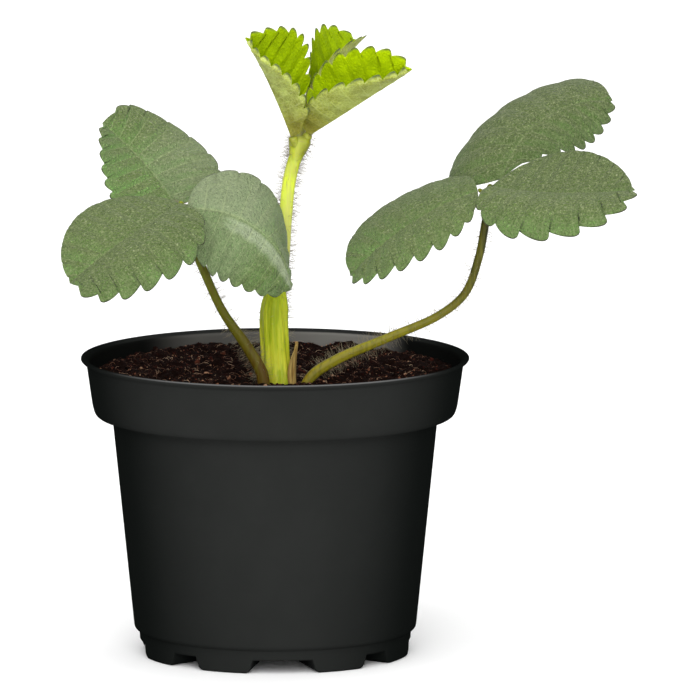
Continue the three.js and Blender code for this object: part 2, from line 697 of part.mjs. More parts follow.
// The stalklet leaves the fork, and meets its leaflet end on, just short of the blade
function stalklet(forkPoint, name, fork) {
  const leaf = LEAFLETS[name];
  const forward = directions(leaf, 0).forward;
  const end = v3(...leaf.base).addScaledVector(forward, -2.2 * GAP);
  const bow = end.clone().addScaledVector(forward, -0.25 * end.distanceTo(forkPoint));
  const curve = new THREE.QuadraticBezierCurve3(forkPoint, bow, end);
  return toSolid(taperedRod(curve, (along) => THREE.MathUtils.lerp(...fork, along), 8, 5));
}

function buildStalk(name) {
  const stalk = STALKS[name];
  const curve = stalkCurve(stalk);
  const rod = taperedRod(curve, (along) => stalkRadius(stalk, along), 9, 20);
  const forkPoint = curve.getPointAt(0.99);
  const stalklets = stalk.leaflets.map((leaflet) => stalklet(forkPoint, leaflet, stalk.fork));
  const neckEnd = forkPoint.clone().addScaledVector(curve.getTangentAt(1), stalk.neck);
  const rounded = (along) => stalk.fork[0] * Math.sqrt(1 - 0.8 * along ** 4);
  const neck = taperedRod(new THREE.LineCurve3(forkPoint, neckEnd), rounded, 10, 5);
  return join([toSolid(rod), ...stalklets, toSolid(neck)]);
}

// The lower part of a stalk with clearance round it, for the plain hole that it stands in
function stalkHole(name, share) {
  const stalk = STALKS[name];
  const points = stalkCurve(stalk).getPoints(60).slice(0, Math.round(60 * share) + 1);
  const curve = new THREE.CatmullRomCurve3(points);
  const radius = stalk.radius[0] + 1.5 * GAP;
  return toSolid(taperedRod(curve, () => radius, 12, 10, { reach: GAP }));
}

function crownHole() {
  const hole = (along) => crownRadius(along) * (1 + RIB_HEIGHT) + 1.3 * GAP;
  return toSolid(taperedRod(crownCurve(), hole, 20, 12, { reach: GAP }));
}

// Shallow hollow in the soil round the scale's foot
function stipuleHole() {
  const depth = 6;
  const shape = new THREE.CylinderGeometry(7.4, 7.2, depth, 20);
  return toSolid(upright(shape, CROWN.x, CROWN.y, SOIL_LEVEL - depth / 2 + 1));
}

// Materials

const finish = (color, roughness) => new THREE.MeshStandardMaterial({ color, roughness, metalness: 0 });
const FINISHES = {
  pot: finish(0x2b2b2c, 0.5),
  soil: finish(0x3a2015, 0.95),
  roots: finish(0x8a6a48, 0.85),
  crown: finish(0xa9b436, 0.6),
  stipule: finish(0xb09a60, 0.7),
  petiole_left: finish(0x6f7a20, 0.6),
  petiole_right: finish(0x9a9a34, 0.6),
  petiole_centre: finish(0xb4c244, 0.6),
};
const MATURE_GREEN = 0x6f8a58;
const YOUNG_GREEN = 0x96c31a;

// Assembly

const plant = new THREE.Group();

function place(name, solid, material) {
  const mesh = new THREE.Mesh(fromSolid(solid), material);
  mesh.name = name;
  plant.add(mesh);
}

const holesInSoil = [
  crownHole(),
  stipuleHole(),
  stalkHole('petiole_left', 0.3),
  stalkHole('petiole_right', 0.25),
  rootSystem(GAP),
];
place('pot', buildPot(), FINISHES.pot);
place('soil', buildSoil(holesInSoil), FINISHES.soil);
place('roots', rootSystem(0), FINISHES.roots);
place('crown', buildCrown(stalkHole('petiole_centre', 0.25)), FINISHES.crown);
place('stipule', buildStipule(), FINISHES.stipule);
for (const name of Object.keys(STALKS)) {
  place(name, buildStalk(name), FINISHES[name]);
}
for (const name of Object.keys(LEAFLETS)) {
  const colour = name.startsWith('young') ? YOUNG_GREEN : MATURE_GREEN;
  place(name, buildLeaflet(name), finish(colour, 0.7));
}

export default plant;
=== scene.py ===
"""Finished look of a potted strawberry plant, in the part's frame: +Z up, -Y towards the front.

Shapes are worked out in millimetres with the part's own sizes, and make_piece turns them into metres.
"""
import math

import bpy
import numpy as np
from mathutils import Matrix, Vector, noise


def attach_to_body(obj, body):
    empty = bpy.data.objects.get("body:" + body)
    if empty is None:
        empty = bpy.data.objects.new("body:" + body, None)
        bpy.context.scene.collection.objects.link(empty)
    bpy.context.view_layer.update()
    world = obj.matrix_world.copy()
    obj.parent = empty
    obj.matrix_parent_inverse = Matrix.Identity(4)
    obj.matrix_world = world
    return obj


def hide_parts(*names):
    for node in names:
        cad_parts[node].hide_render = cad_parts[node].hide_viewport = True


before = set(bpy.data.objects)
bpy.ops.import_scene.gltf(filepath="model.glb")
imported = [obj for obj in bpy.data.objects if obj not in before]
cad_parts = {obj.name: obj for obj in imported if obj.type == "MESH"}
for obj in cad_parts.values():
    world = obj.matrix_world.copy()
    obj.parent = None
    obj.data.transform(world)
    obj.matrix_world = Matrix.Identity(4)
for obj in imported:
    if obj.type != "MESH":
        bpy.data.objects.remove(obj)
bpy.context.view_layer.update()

MM = 0.001
LEFT = 0
RIGHT = 1

# Clear space between pieces that touch
GAP = 0.3

# Pot
RIM_RADIUS = 60.0
POT_HEIGHT = 92.2
WALL = 1.2
COLLAR_TOP_RADIUS = 58.2
COLLAR_FOOT_RADIUS = 56.0
COLLAR_FOOT_Z = 74.0
BODY_TOP_RADIUS = 50.3
BODY_FOOT_RADIUS = 43.6
STEP_Z = 8.2
FOOT_RADIUS = 41.9
FOOT_EDGE = 0.8
FLOOR_Z = 4.0
FLOOR_THICKNESS = 1.4
LIP_THICKNESS = 1.9

# Foot pads under the pot, with a channel between each two
PAD_COUNT = 8
PAD_INNER_RADIUS = 17.0
PAD_TURN = 3.5
WIDE_CHANNEL_ANGLE = 26.8
NARROW_CHANNEL_ANGLE = 13.4
PAD_CORNER = 2.4
HUB_RADIUS = 12.0
DRAIN_HOLE_RADIUS = 3.0
DRAIN_HOLE_RING = 30.0

# Soil
SOIL_LEVEL = 86.9
SOIL_LUMP = 1.3
SOIL_DIP = 1.6
SOIL_DIP_RADIUS = 13.0
SOIL_GRAIN = 1.0

# Mounds and hollows of the soil: x, y, height and spread
MOUNDS = (
    (-44, 30, 1.6, 5), (-37, 38, 2.2, 5), (-28, 44, 1.6, 6), (-16, 50, 1.6, 7), (4, 52, 1.6, 8),
    (21, 50, 2.2, 5), (34, 40, 1.2, 8), (44, 26, 1.2, 6), (-39, 36, -1.4, 2), (-53, 8, -1.6, 7),
    (54, 6, -1.4, 6), (0, -48, 0.6, 14),
)

# Crown, where the plant meets the soil
CROWN_X = 0.6
CROWN_Y = -12.0
CROWN_FOOT = 74.9
CROWN_TOP = 116.4
CROWN_RADIUS = 4.3
CROWN_RIBS = 9

# Papery scale beside the crown, which faces a little to the front of right
SCALE_FOOT = SOIL_LEVEL - 3.5
SCALE_HEIGHT = 15.5
SCALE_RADIUS = 5.75
SCALE_THICKNESS = 0.3
SCALE_FACING = -12
SCALE_HALF_ANGLE = 46

# Blades of the leaflets, fully open (mature) or still folded (young)
TEETH = 8
TOOTH_DEPTH = {"mature": 2.6, "young": 2.3}
PLEAT = {"mature": 0.6, "young": 0.55}
VEIN_RIDGE = {"mature": 0.2, "young": 0.1}
BLADE = 0.36
BLADE_AT_RIM = 0.14

# Length over which a tooth bends down from the blade, and how far it leans towards the leaflet's tip
SOFT_BEND = 0.6
TOOTH_LEAN = 0.4

# Shares of the margin without teeth, at the base and at the tip
PLAIN_BASE = 0.16
PLAIN_TIP = 0.035

# The midrib is worked out to a little past the tip, as a share of its length
OVERRUN = 1.1

# Distance between the leaflets where their finish's pattern is worked out, so that no two are alike
PATTERN_STEP = 9

# What a leaf's finish reads from the blade, with the values at its base and at its tip
READINGS = {
    "vein_gap": (3, 3), "midrib_gap": (0, 0), "rim_gap": (3, 0), "tooth_tip": (0, 1), "flat": (0, 0),
    "crease": (0, 0), "painted_silver_sheen": (0, 0), "veined": (0, 0), "bright_green": (0, 0), "shade": (0, 0),
}

# Leaflets. A pair is for the left and the right half, seen from the base with the upper face up.
# Angles are in degrees, and heading is counted from +X towards +Y.
#   base, length, width: where the midrib starts, its length, and the width of each half
#   heading, rise, roll: direction of the midrib at the base, and how the blade leans about it
#   turn, droop, twist: how far the midrib turns, how far it sinks, and how far the blade leans, by the tip
#   fold, open, curl: slope of each half beside the midrib, its change by the tip, and its bend further out
#   nod: how far the teeth bend down
#   broad: power that spreads the outline along the midrib
#   full, blunt: powers of the outline's swell in its lower and in its upper half, slimmer when higher
#   lobe: how far the outline reaches back at the base
#   toothing: size of the teeth beside the common one
#   the two silver keys, veined, bright_green, shade: strength of each tint, where the silver keys are a
#   painted silver sheen, over the half and in a band beside the midrib, and shade is a painted shade
COMMON_LEAFLET = dict(
    toothing=(1, 1), painted_silver_sheen=(0, 0), painted_silver_band=(0, 0), veined=(0, 0), bright_green=(0, 0), shade=(0, 0),
)
LEAFLETS = {
    "leaflet_left_front": dict(
        base=(-28.9, -36.8, 145), length=47.8, width=(22, 20.5),
        heading=236, turn=-38, rise=-13, droop=26, roll=-4, twist=-18,
        fold=(5, 12), open=(8, 9), curl=(-60, -14), nod=(10, 90),
        broad=1.01, full=(1.19, 0.97), blunt=(0.48, 1.1), lobe=(2, 0.9),
        toothing=(1.1, 0.4), shade=(0.3, 0.2),
    ),
    "leaflet_left_back": dict(
        base=(-30.5, -24.1, 142.3), length=37.2, width=(20.2, 20.6),
        heading=113, turn=67, rise=36, droop=-8, roll=-18, twist=-4,
        fold=(18, 23), open=(-6, 4), curl=(-11, -37), nod=(10, 10),
        broad=1.05, full=(0.75, 0.66), blunt=(0.66, 0.44), lobe=(6.9, 5.3),
        toothing=(0.6, 0.45), painted_silver_sheen=(0, 0.2), veined=(0.08, 0.18),
        bright_green=(0.7, 0.2), shade=(0.1, 0.25),
    ),
    "leaflet_left_right": dict(
        base=(-26.6, -32.9, 142.8), length=46.5, width=(19.9, 20.4),
        heading=-25, turn=67, rise=9, droop=92, roll=49, twist=-10,
        fold=(0, -19), open=(-3, -10), curl=(-13, -18), nod=(10, 10),
        broad=0.99, full=(0.84, 0.7), blunt=(0.88, 0.42), lobe=(2, 4.1),
        toothing=(0.65, 0.8), painted_silver_sheen=(0.45, 0.25), painted_silver_band=(0.3, 0.85),
        veined=(0.2, 0.2), shade=(0.2, 0.3),
    ),
    "leaflet_right_left": dict(
        base=(62.3, -13.6, 145.7), length=47.8, width=(17.9, 20.4),
        heading=180, turn=0, rise=-19, droop=30, roll=-18, twist=-2,
        fold=(-6, 14), open=(13, 14), curl=(-29, -41), nod=(10, 90),
        broad=1.08, full=(0.72, 0.85), blunt=(0.72, 1.1), lobe=(-1.1, 0.9),
        toothing=(1.1, 0.5), bright_green=(0, 0.3), shade=(0.1, 0.3),
    ),
    "leaflet_right_back": dict(
        base=(69.7, -4.6, 148.1), length=51.4, width=(27.9, 15.3),
        heading=60, turn=-43, rise=56, droop=61, roll=20, twist=16,
        fold=(4, -4), open=(4, -7), curl=(-84, -48), nod=(90, 15),
        broad=0.8, full=(0.8, 1.5), blunt=(1.1, 1.01), lobe=(18, -6.8),
        toothing=(0.5, 1), shade=(0.5, 0.5),
    ),
    "leaflet_right_front": dict(
        base=(66.6, -18, 147.8), length=47.5, width=(20.6, 21.3),
        heading=-38, turn=33, rise=-4, droop=-11, roll=9, twist=2,
        fold=(22, 4), open=(2, 2), curl=(7, -72), nod=(90, 10),
        broad=1.06, full=(1, 1.17), blunt=(1.04, 0.92), lobe=(-2.7, 4),
        toothing=(0.7, 1.05), shade=(0.35, 0.25),
    ),
    "young_leaflet_left": dict(
        base=(5.4, -12.2, 162.3), length=36.8, width=(15, 16.2),
        heading=216, turn=5, rise=66, droop=11, roll=-39, twist=-32,
        fold=(45, 52), open=(-21, 4), curl=(46, 2), nod=(-60, 5),
        broad=0.65, full=(0.72, 0.68), blunt=(0.85, 0.96), lobe=(0.5, -7.5),
        shade=(0, 0.35),
    ),
    "young_leaflet_right": dict(
        base=(10.8, -10, 162.8), length=43.3, width=(16.6, 14.6),
        heading=-36, turn=7, rise=30, droop=-3, roll=4, twist=37,
        fold=(72, 34), open=(-2, -10), curl=(20, 46), nod=(5, -70),
        broad=0.82, full=(0.82, 1), blunt=(0.77, 0.91), lobe=(2, 3),
        shade=(0, 0.6),
    ),
    "young_leaflet_back": dict(
        base=(8.3, -4.2, 164.3), length=40.7, width=(15.2, 14.4),
        heading=67, turn=-17, rise=37, droop=5, roll=15, twist=-1,
        fold=(84, 87), open=(-60, -47), curl=(41, 25), nod=(5, 5),
        broad=0.93, full=(0.85, 1.17), blunt=(0.75, 0.95), lobe=(-0.6, 1.5),
        shade=(0.4, 0.4),
    ),
}

# Leaf stalks
#   points: middle line from the foot to the fork, along the real stalk's bends
#   radius: at the foot and past the middle; fork: radius of the short stalks at the fork and at the leaflets
#   neck: length of the flared top; stops, stripe: colours from foot to top, and of the streaks along it
#   hairs: number on a square millimetre
STALKS = {
    "petiole_left": dict(
        points=(
            (-2.6, -19.2, 77.9), (-3.2, -19.4, 83.9), (-4, -19.4, 89.9), (-8.3, -19.8, 97.9),
            (-15.9, -21.5, 109.4), (-22.3, -24.5, 123.9), (-27, -28, 135.9), (-29, -29.5, 139.9),
        ),
        radius=(2.1, 1.35), fork=(1.1, 0.65), neck=0.5,
        leaflets=("leaflet_left_front", "leaflet_left_back", "leaflet_left_right"),
        slot="stalk_olive", hairs=2.4,
        stops=((0, (70, 44, 4)), (0.22, (66, 42, 2)), (0.5, (80, 84, 2)), (1, (108, 120, 22))),
        stripe=(84, 78, 14),
    ),
    "petiole_right": dict(
        points=(
            (9.2, -13.6, 77.9), (9.2, -13.6, 83.9), (11.4, -13.3, 88.1), (19, -12.7, 93.1),
            (35.2, -12, 100), (50.6, -11.5, 106.8), (58.5, -11.5, 113.6), (62.8, -11.8, 125.2),
            (65, -12, 136.9), (66.6, -12, 142.3),
        ),
        radius=(1.75, 1.3), fork=(1.05, 0.65), neck=0.5,
        leaflets=("leaflet_right_left", "leaflet_right_back", "leaflet_right_front"),
        slot="stalk_yellow", hairs=2.4,
        stops=(
            (0, (110, 88, 16)), (0.16, (124, 116, 20)), (0.45, (118, 112, 20)), (0.7, (56, 56, 3)),
            (0.92, (34, 36, 1)), (1, (96, 102, 20)),
        ),
        stripe=(92, 88, 18),
    ),
    "petiole_centre": dict(
        points=(
            (1, -12, 107.4), (1.4, -12, 115.9), (2.4, -11.8, 122.9), (3.2, -11.2, 135.9),
            (4.4, -10.6, 147.9), (6, -9.8, 154.4), (7.6, -9.2, 158.5),
        ),
        radius=(2, 2.1), fork=(2.3, 1.4), neck=3.6,
        leaflets=("young_leaflet_left", "young_leaflet_right", "young_leaflet_back"),
        slot="stalk_light", hairs=4.0,
        stops=(
            (0, (160, 172, 24)), (0.45, (178, 182, 98)), (0.8, (188, 204, 44)), (0.92, (150, 160, 24)),
            (1, (116, 120, 24)),
        ),
        stripe=(168, 172, 84),
    ),
}

# Colours, as red, green and blue from 0 to 255. A ramp's stops are places from 0 to 1 with their colours.
CROWN_STOPS = ((0, (120, 92, 20)), (0.27, (166, 152, 48)), (0.42, (188, 186, 52)), (1, (158, 172, 16)))
CROWN_STRIPE = (126, 144, 6)
SCALE_STOPS = ((0.25, (96, 66, 26)), (0.45, (136, 108, 52)), (0.62, (170, 146, 84)), (0.8, (126, 94, 42)))
SOIL_STOPS = (
    (0, (7, 3, 2)), (0.5, (18, 7, 5)), (0.78, (34, 14, 10)), (0.88, (66, 28, 22)), (0.95, (124, 78, 58)),
    (1, (190, 150, 120)),
)
FIBRE_STOPS = (
    (0, (16, 7, 5)), (0.5, (34, 16, 11)), (0.78, (80, 46, 34)), (0.9, (150, 108, 84)), (1, (220, 190, 160)),
)

# Leaf tones. A share says how strongly veins, net, specks, creases or dips show; creases and dips get the
# painted shade tone. The tone for faces that look at the sky is a painted sheen, the silver tone a painted
# sheen, and shade a painted shade. The dark rim fades out from rim_from to rim_to, as distances from the
# margin.
MATURE_TONES = dict(
    deep=(88, 114, 58), fresh=(106, 140, 74), bright=(116, 158, 84), bronze=(84, 94, 46),
    painted_silver_sheen=(138, 148, 122), shade=(52, 62, 30), speck=(150, 156, 118), vein=(150, 162, 116),
    under=(128, 146, 92), under_deep=(110, 130, 76), under_vein=(156, 168, 118),
    rim=(40, 38, 26), rim_from=0.05, rim_to=0.45, foot=(120, 128, 70),
    vein_share=0.1, net_share=0.16, speck_share=0.95, crease_share=0.35, dip_share=0.45,
)
YOUNG_TONES = dict(
    deep=(134, 158, 0), fresh=(162, 188, 2), bright=(162, 188, 2), bronze=(134, 160, 0),
    painted_silver_sheen=(190, 210, 90), shade=(88, 110, 0), speck=(174, 196, 18), vein=(176, 198, 30),
    under=(172, 184, 98), under_deep=(124, 130, 56), under_vein=(192, 200, 128),
    rim=(68, 82, 50), rim_from=0.15, rim_to=1.0, foot=(106, 98, 28),
    vein_share=0.12, net_share=0.06, speck_share=0.12, crease_share=0.05, dip_share=0.2,
)

# Camera, in metres, and its lens on a sensor of the given width, in millimetres
CAMERA_PLACE = (0.0225, -3.949, 0.6929)
CAMERA_AIM = (0.0225, 0, 0.0948)
CAMERA_LENS = 669.7
SENSOR_WIDTH = 36

# Half the width of the studio floor
FLOOR_REACH = 14000.0


# Helpers for shapes

def smoothstep(value, low, high):
    share = np.clip((value - low) / (high - low), 0, 1)
    return share * share * (3 - 2 * share)


def lerp(first, second, share):
    return first + (second - first) * share


def quadratic(first, middle, last, share):
    """Places on the curve from `first` to `last` that is drawn towards `middle`"""
    return (1 - share) ** 2 * first + 2 * share * (1 - share) * middle + share ** 2 * last


def unit(vectors):
    return vectors / np.linalg.norm(vectors, axis=-1, keepdims=True)


def round_turns(count):
    """Angles of `count` equal steps round a circle"""
    return 2 * np.pi * np.arange(count) / count


def grid_faces(rows, columns, start=0, closed=False):
    """Faces between neighbouring points of a grid, wound so that row direction x column direction is out"""
    faces = []
    for i in range(rows - 1):
        for j in range(columns if closed else columns - 1):
            following = (j + 1) % columns
            here = start + i * columns
            ahead = here + columns
            faces.append((here + j, ahead + j, ahead + following, here + following))
    return faces


def flipped(faces):
    return [tuple(reversed(face)) for face in faces]


def ringed_faces(rings, sides):
    """Faces of a closed surface made of rings, with a pole at each end as its last two points"""
    faces = flipped(grid_faces(rings, sides, closed=True))
    first_pole = rings * sides
    last_ring = first_pole - sides
    for j in range(sides):
        following = (j + 1) % sides
        faces.append((first_pole, following, j))
        faces.append((first_pole + 1, last_ring + j, last_ring + following))
    return faces


def make_piece(name, points, faces, finish, slot=None, stands_for=None, smooth=True, **attributes):
    """Makes a mesh object from points in millimetres. Each attribute has a number or a vector per point."""
    mesh = bpy.data.meshes.new(name)
    mesh.from_pydata((np.asarray(points) * MM).tolist(), [], faces)
    for attribute, values in attributes.items():
        values = np.asarray(values, dtype=np.float32)
        kind = "FLOAT" if values.ndim == 1 else "FLOAT_VECTOR"
        key = "value" if values.ndim == 1 else "vector"
        mesh.attributes.new(attribute, kind, "POINT").data.foreach_set(key, values.ravel())
    if smooth:
        mesh.shade_smooth()
    mesh.materials.append(finish)
    mesh.update()
    piece = bpy.data.objects.new(name, mesh)
    bpy.context.scene.collection.objects.link(piece)
    if slot:
        attach(piece, stands_for)
    return piece


def attach(piece, stands_for=None):
    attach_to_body(piece, "root")
    if stands_for:
        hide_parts(stands_for)


def evaluated_mesh(holder):
    """Plain mesh of an object with its modifiers applied"""
    depsgraph = bpy.context.evaluated_depsgraph_get()
    return bpy.data.meshes.new_from_object(holder.evaluated_get(depsgraph), depsgraph=depsgraph)


def curve_through(points, count):
    """Centripetal curve through the points, as `count` places that are evenly spaced along it"""
    points = np.array(points, dtype=float)
    points = np.vstack([2 * points[0] - points[1], points, 2 * points[-1] - points[-2]])
    dense = []
    share = np.linspace(0, 1, 24, endpoint=False)[:, None]
    for p0, p1, p2, p3 in zip(points, points[1:], points[2:], points[3:]):
        step0, step1, step2 = (max(math.sqrt(np.linalg.norm(d)), 1e-4) for d in (p1 - p0, p2 - p1, p3 - p2))
        leave = ((p1 - p0) / step0 - (p2 - p0) / (step0 + step1) + (p2 - p1) / step1) * step1
        arrive = ((p2 - p1) / step1 - (p3 - p1) / (step1 + step2) + (p3 - p2) / step2) * step1
        square, cube = share ** 2, share ** 3
        dense.append(
            (2 * cube - 3 * square + 1) * p1 + (cube - 2 * square + share) * leave
            + (3 * square - 2 * cube) * p2 + (cube - square) * arrive
        )
    dense = np.vstack(dense + [points[-2][None]])
    distance = np.concatenate([[0], np.cumsum(np.linalg.norm(np.diff(dense, axis=0), axis=1))])
    wanted = np.linspace(0, distance[-1], count)
    return np.stack([np.interp(wanted, distance, dense[:, axis]) for axis in range(3)], axis=1)


def rod(centres, radii):
    """Closed rod along the centres. `radii` has a row of radii round the rod for each centre.

    Returns its points and faces. The first radius of each row faces the front as nearly as it can.
    """
    rings, sides = radii.shape
    tangents = unit(np.gradient(centres, axis=0))
    side = np.array([0.0, -1.0, 0.0])
    turns = round_turns(sides)
    points = []
    for i in range(rings):
        side = unit(side - tangents[i] * np.dot(side, tangents[i]))
        other = np.cross(tangents[i], side)
        ring = np.cos(turns)[:, None] * side + np.sin(turns)[:, None] * other
        points.append(centres[i] + ring * radii[i][:, None])
    points = np.vstack(points + [centres[:1], centres[-1:]])
    return points, ringed_faces(rings, sides)


# Helpers for finishes and geometry nodes

def colour(red, green, blue):
    """Screen colour, 0 to 255, as the linear colour of a finish"""
    linear = [((c / 255 + 0.055) / 1.055) ** 2.4 if c > 10 else c / 255 / 12.92 for c in (red, green, blue)]
    return (*linear, 1.0)


class Nodes:
    """What finishes and geometry nodes have in common: a tree that gets its nodes one at a time"""

    def node(self, kind, settings=None, **inputs):
        """New node, with its inputs given by name. An underscore stands for a space."""
        node = self.tree.nodes.new(kind)
        for key, value in (settings or {}).items():
            setattr(node, key, value)
        for key, value in inputs.items():
            self.give(node.inputs[key.replace("_", " ")], value)
        return node

    def give(self, socket, value):
        """Links the socket to the output of another node, or sets it to a plain value"""
        if isinstance(value, bpy.types.NodeSocket):
            self.tree.links.new(value, socket)
        else:
            socket.default_value = value

    def calc(self, operation, first, second=0.0, third=0.0, clamp=False):
        node = self.node("ShaderNodeMath", {"operation": operation, "use_clamp": clamp})
        for socket, value in zip(node.inputs, (first, second, third)):
            self.give(socket, value)
        return node.outputs[0]

    def times(self, first, *others):
        for other in others:
            first = self.calc("MULTIPLY", first, other)
        return first


class Finish(Nodes):
    """A material"""

    def __init__(self, name):
        self.material = bpy.data.materials.new(name)
        self.material.use_nodes = True
        self.tree = self.material.node_tree
        self.tree.nodes.clear()
        self.shader = self.node("ShaderNodeBsdfPrincipled")
        self.node("ShaderNodeOutputMaterial", Surface=self.shader.outputs["BSDF"])

    def surface(self, **values):
        for key, value in values.items():
            self.give(self.shader.inputs[key.replace("_", " ")], value)
        return self.material

    def attribute(self, name, output="Fac"):
        return self.node("ShaderNodeAttribute", {"attribute_name": name}).outputs[output]

    def place(self, scale=(1, 1, 1)):
        """Object coordinates in millimetres, stretched by `scale`"""
        spot = self.node("ShaderNodeTexCoord").outputs["Object"]
        return self.node("ShaderNodeMapping", Vector=spot, Scale=[s / MM for s in scale]).outputs["Vector"]

    def axes(self, vector):
        return self.node("ShaderNodeSeparateXYZ", Vector=vector).outputs

    def noise(self, vector, size, detail=3.0, rough=0.55):
        """Soft noise whose lumps are about `size` units across"""
        node = self.node("ShaderNodeTexNoise", Vector=vector, Scale=1 / size, Detail=detail, Roughness=rough)
        return node.outputs["Fac"]

    def cells(self, vector, size):
        """Distance to the edge of cells about `size` units across"""
        return self.node(
            "ShaderNodeTexVoronoi", {"feature": "DISTANCE_TO_EDGE"}, Vector=vector, Scale=1 / size,
        ).outputs["Distance"]

    def fade(self, value, low, high, bottom=0.0, top=1.0):
        """Smooth change from `bottom` to `top` as the value goes from `low` to `high`"""
        return self.node(
            "ShaderNodeMapRange", {"interpolation_type": "SMOOTHSTEP"},
            Value=value, From_Min=low, From_Max=high, To_Min=bottom, To_Max=top,
        ).outputs["Result"]

    def blend(self, share, first, second):
        node = self.node("ShaderNodeMix", {"data_type": "RGBA", "clamp_factor": True})
        for k, value in ((0, share), (6, first), (7, second)):
            self.give(node.inputs[k], value)
        return node.outputs[2]

    def coats(self, tone, *coats):
        """Lays coats over a tone, one after another. Each is its share and its colour."""
        for share, coat in coats:
            tone = self.blend(share, tone, coat)
        return tone

    def ramp(self, value, stops):
        node = self.node("ShaderNodeValToRGB", Fac=value)
        elements = node.color_ramp.elements
        while len(elements) < len(stops):
            elements.new(0.5)
        for element, (position, tone) in zip(elements, stops):
            element.position = position
            element.color = colour(*tone)
        return node.outputs["Color"]

    def bump(self, height, depth, after=None):
        """Relief whose full height is `depth` millimetres, over the relief `after`"""
        node = self.node("ShaderNodeBump", Distance=depth * MM, Height=height)
        if after is not None:
            self.give(node.inputs["Normal"], after)
        return node.outputs["Normal"]


class Spread(Nodes):
    """A geometry node tree that makes what repeats over a surface"""

    def __init__(self, name, numbers):
        self.tree = bpy.data.node_groups.new(name, "GeometryNodeTree")
        self.draws = 0
        face = self.tree.interface
        face.new_socket("Carrier", in_out="INPUT", socket_type="NodeSocketGeometry")
        for label, value in numbers.items():
            kind = "NodeSocketInt" if isinstance(value, int) else "NodeSocketFloat"
            face.new_socket(label, in_out="INPUT", socket_type=kind).default_value = value
        face.new_socket("Finish", in_out="INPUT", socket_type="NodeSocketMaterial")
        face.new_socket("Result", in_out="OUTPUT", socket_type="NodeSocketGeometry")
        self.given = self.tree.nodes.new("NodeGroupInput").outputs
        self.result = self.tree.nodes.new("NodeGroupOutput").inputs["Result"]

    def vector(self, x, y, z):
        return self.node("ShaderNodeCombineXYZ", X=x, Y=y, Z=z).outputs[0]

    def random(self, low, high, whole=False):
        """Random number for each point, between two numbers. Each call draws its own."""
        self.draws += 1
        node = self.node("FunctionNodeRandomValue", {"data_type": "INT" if whole else "FLOAT"})
        first = 4 if whole else 2
        self.give(node.inputs[first], low)
        self.give(node.inputs[first + 1], high)
        self.give(node.inputs["Seed"], self.calc("ADD", self.given["Seed"], 100 * self.draws))
        return node.outputs[2 if whole else 1]

    def any_turn(self):
        return self.random(0.0, 2 * math.pi)

    def points(self, thickness_attribute):
        """Points over the carrier, as thick as its attribute says"""
        weight = self.node(
            "GeometryNodeInputNamedAttribute", {"data_type": "FLOAT"}, Name=thickness_attribute,
        ).outputs["Attribute"]
        density = self.calc("DIVIDE", self.times(self.given["Per square millimetre"], weight), MM * MM)
        return self.node(
            "GeometryNodeDistributePointsOnFaces",
            Mesh=self.given["Carrier"], Density=density, Seed=self.given["Seed"],
        ).outputs

    def turned(self, rotation, x, y, z):
        """Rotation that is first turned about its own axes"""
        turn = self.node("FunctionNodeEulerToRotation", Euler=self.vector(x, y, z))
        return self.node(
            "FunctionNodeRotateRotation", {"rotation_space": "LOCAL"},
            Rotation=rotation, Rotate_By=turn.outputs[0],
        ).outputs[0]

    def strand(self, start, middle, end, steps, radius):
        """Thin three-sided strand along a bent path"""
        path = self.node(
            "GeometryNodeCurveQuadraticBezier", Resolution=steps, Start=start, Middle=middle, End=end,
        )
        ring = self.node("GeometryNodeCurvePrimitiveCircle", Resolution=3, Radius=1.0)
        return self.node(
            "GeometryNodeCurveToMesh", Curve=path.outputs[0], Profile_Curve=ring.outputs[0], Scale=radius,
            Fill_Caps=True,
        ).outputs[0]

    def shelf(self, shapes):
        """The shapes as instances, for place_any to choose from"""
        shelf = self.node("GeometryNodeJoinGeometry")
        for shape in shapes:
            held = self.node("GeometryNodeGeometryToInstance", Geometry=shape)
            self.tree.links.new(held.outputs[0], shelf.inputs[0])
        return shelf.outputs[0]

    def place_any(self, places, shapes, count, rotation, scale):
        """One of the `count` shapes at each place, with its own tone from 0 to 1"""
        placed = self.node(
            "GeometryNodeInstanceOnPoints", Points=places, Instance=shapes, Pick_Instance=True,
            Instance_Index=self.random(0, count - 1, whole=True), Rotation=rotation, Scale=scale,
        )
        return self.node(
            "GeometryNodeStoreNamedAttribute", {"data_type": "FLOAT", "domain": "INSTANCE"},
            Geometry=placed.outputs[0], Name="tone", Value=self.random(0.0, 1.0),
        ).outputs[0]

    def end_with(self, instances):
        real = self.node("GeometryNodeRealizeInstances", Geometry=instances).outputs[0]
        dressed = self.node("GeometryNodeSetMaterial", Geometry=real, Material=self.given["Finish"])
        self.tree.links.new(dressed.outputs[0], self.result)

    def make(self, name, carrier, finish, slot, **numbers):
        """Runs the tree on a carrier piece and keeps its result as a plain mesh"""
        holder = bpy.data.objects.new("holder", carrier.data.copy())
        bpy.context.scene.collection.objects.link(holder)
        modifier = holder.modifiers.new("spread", "NODES")
        modifier.node_group = self.tree
        sockets = {item.name: item.identifier for item in self.tree.interface.items_tree}
        for label, value in numbers.items():
            modifier[sockets[label.replace("_", " ")]] = value
        modifier[sockets["Finish"]] = finish
        mesh = evaluated_mesh(holder)
        bpy.data.objects.remove(holder)
        mesh.name = name
        piece = bpy.data.objects.new(name, mesh)
        bpy.context.scene.collection.objects.link(piece)
        attach(piece)


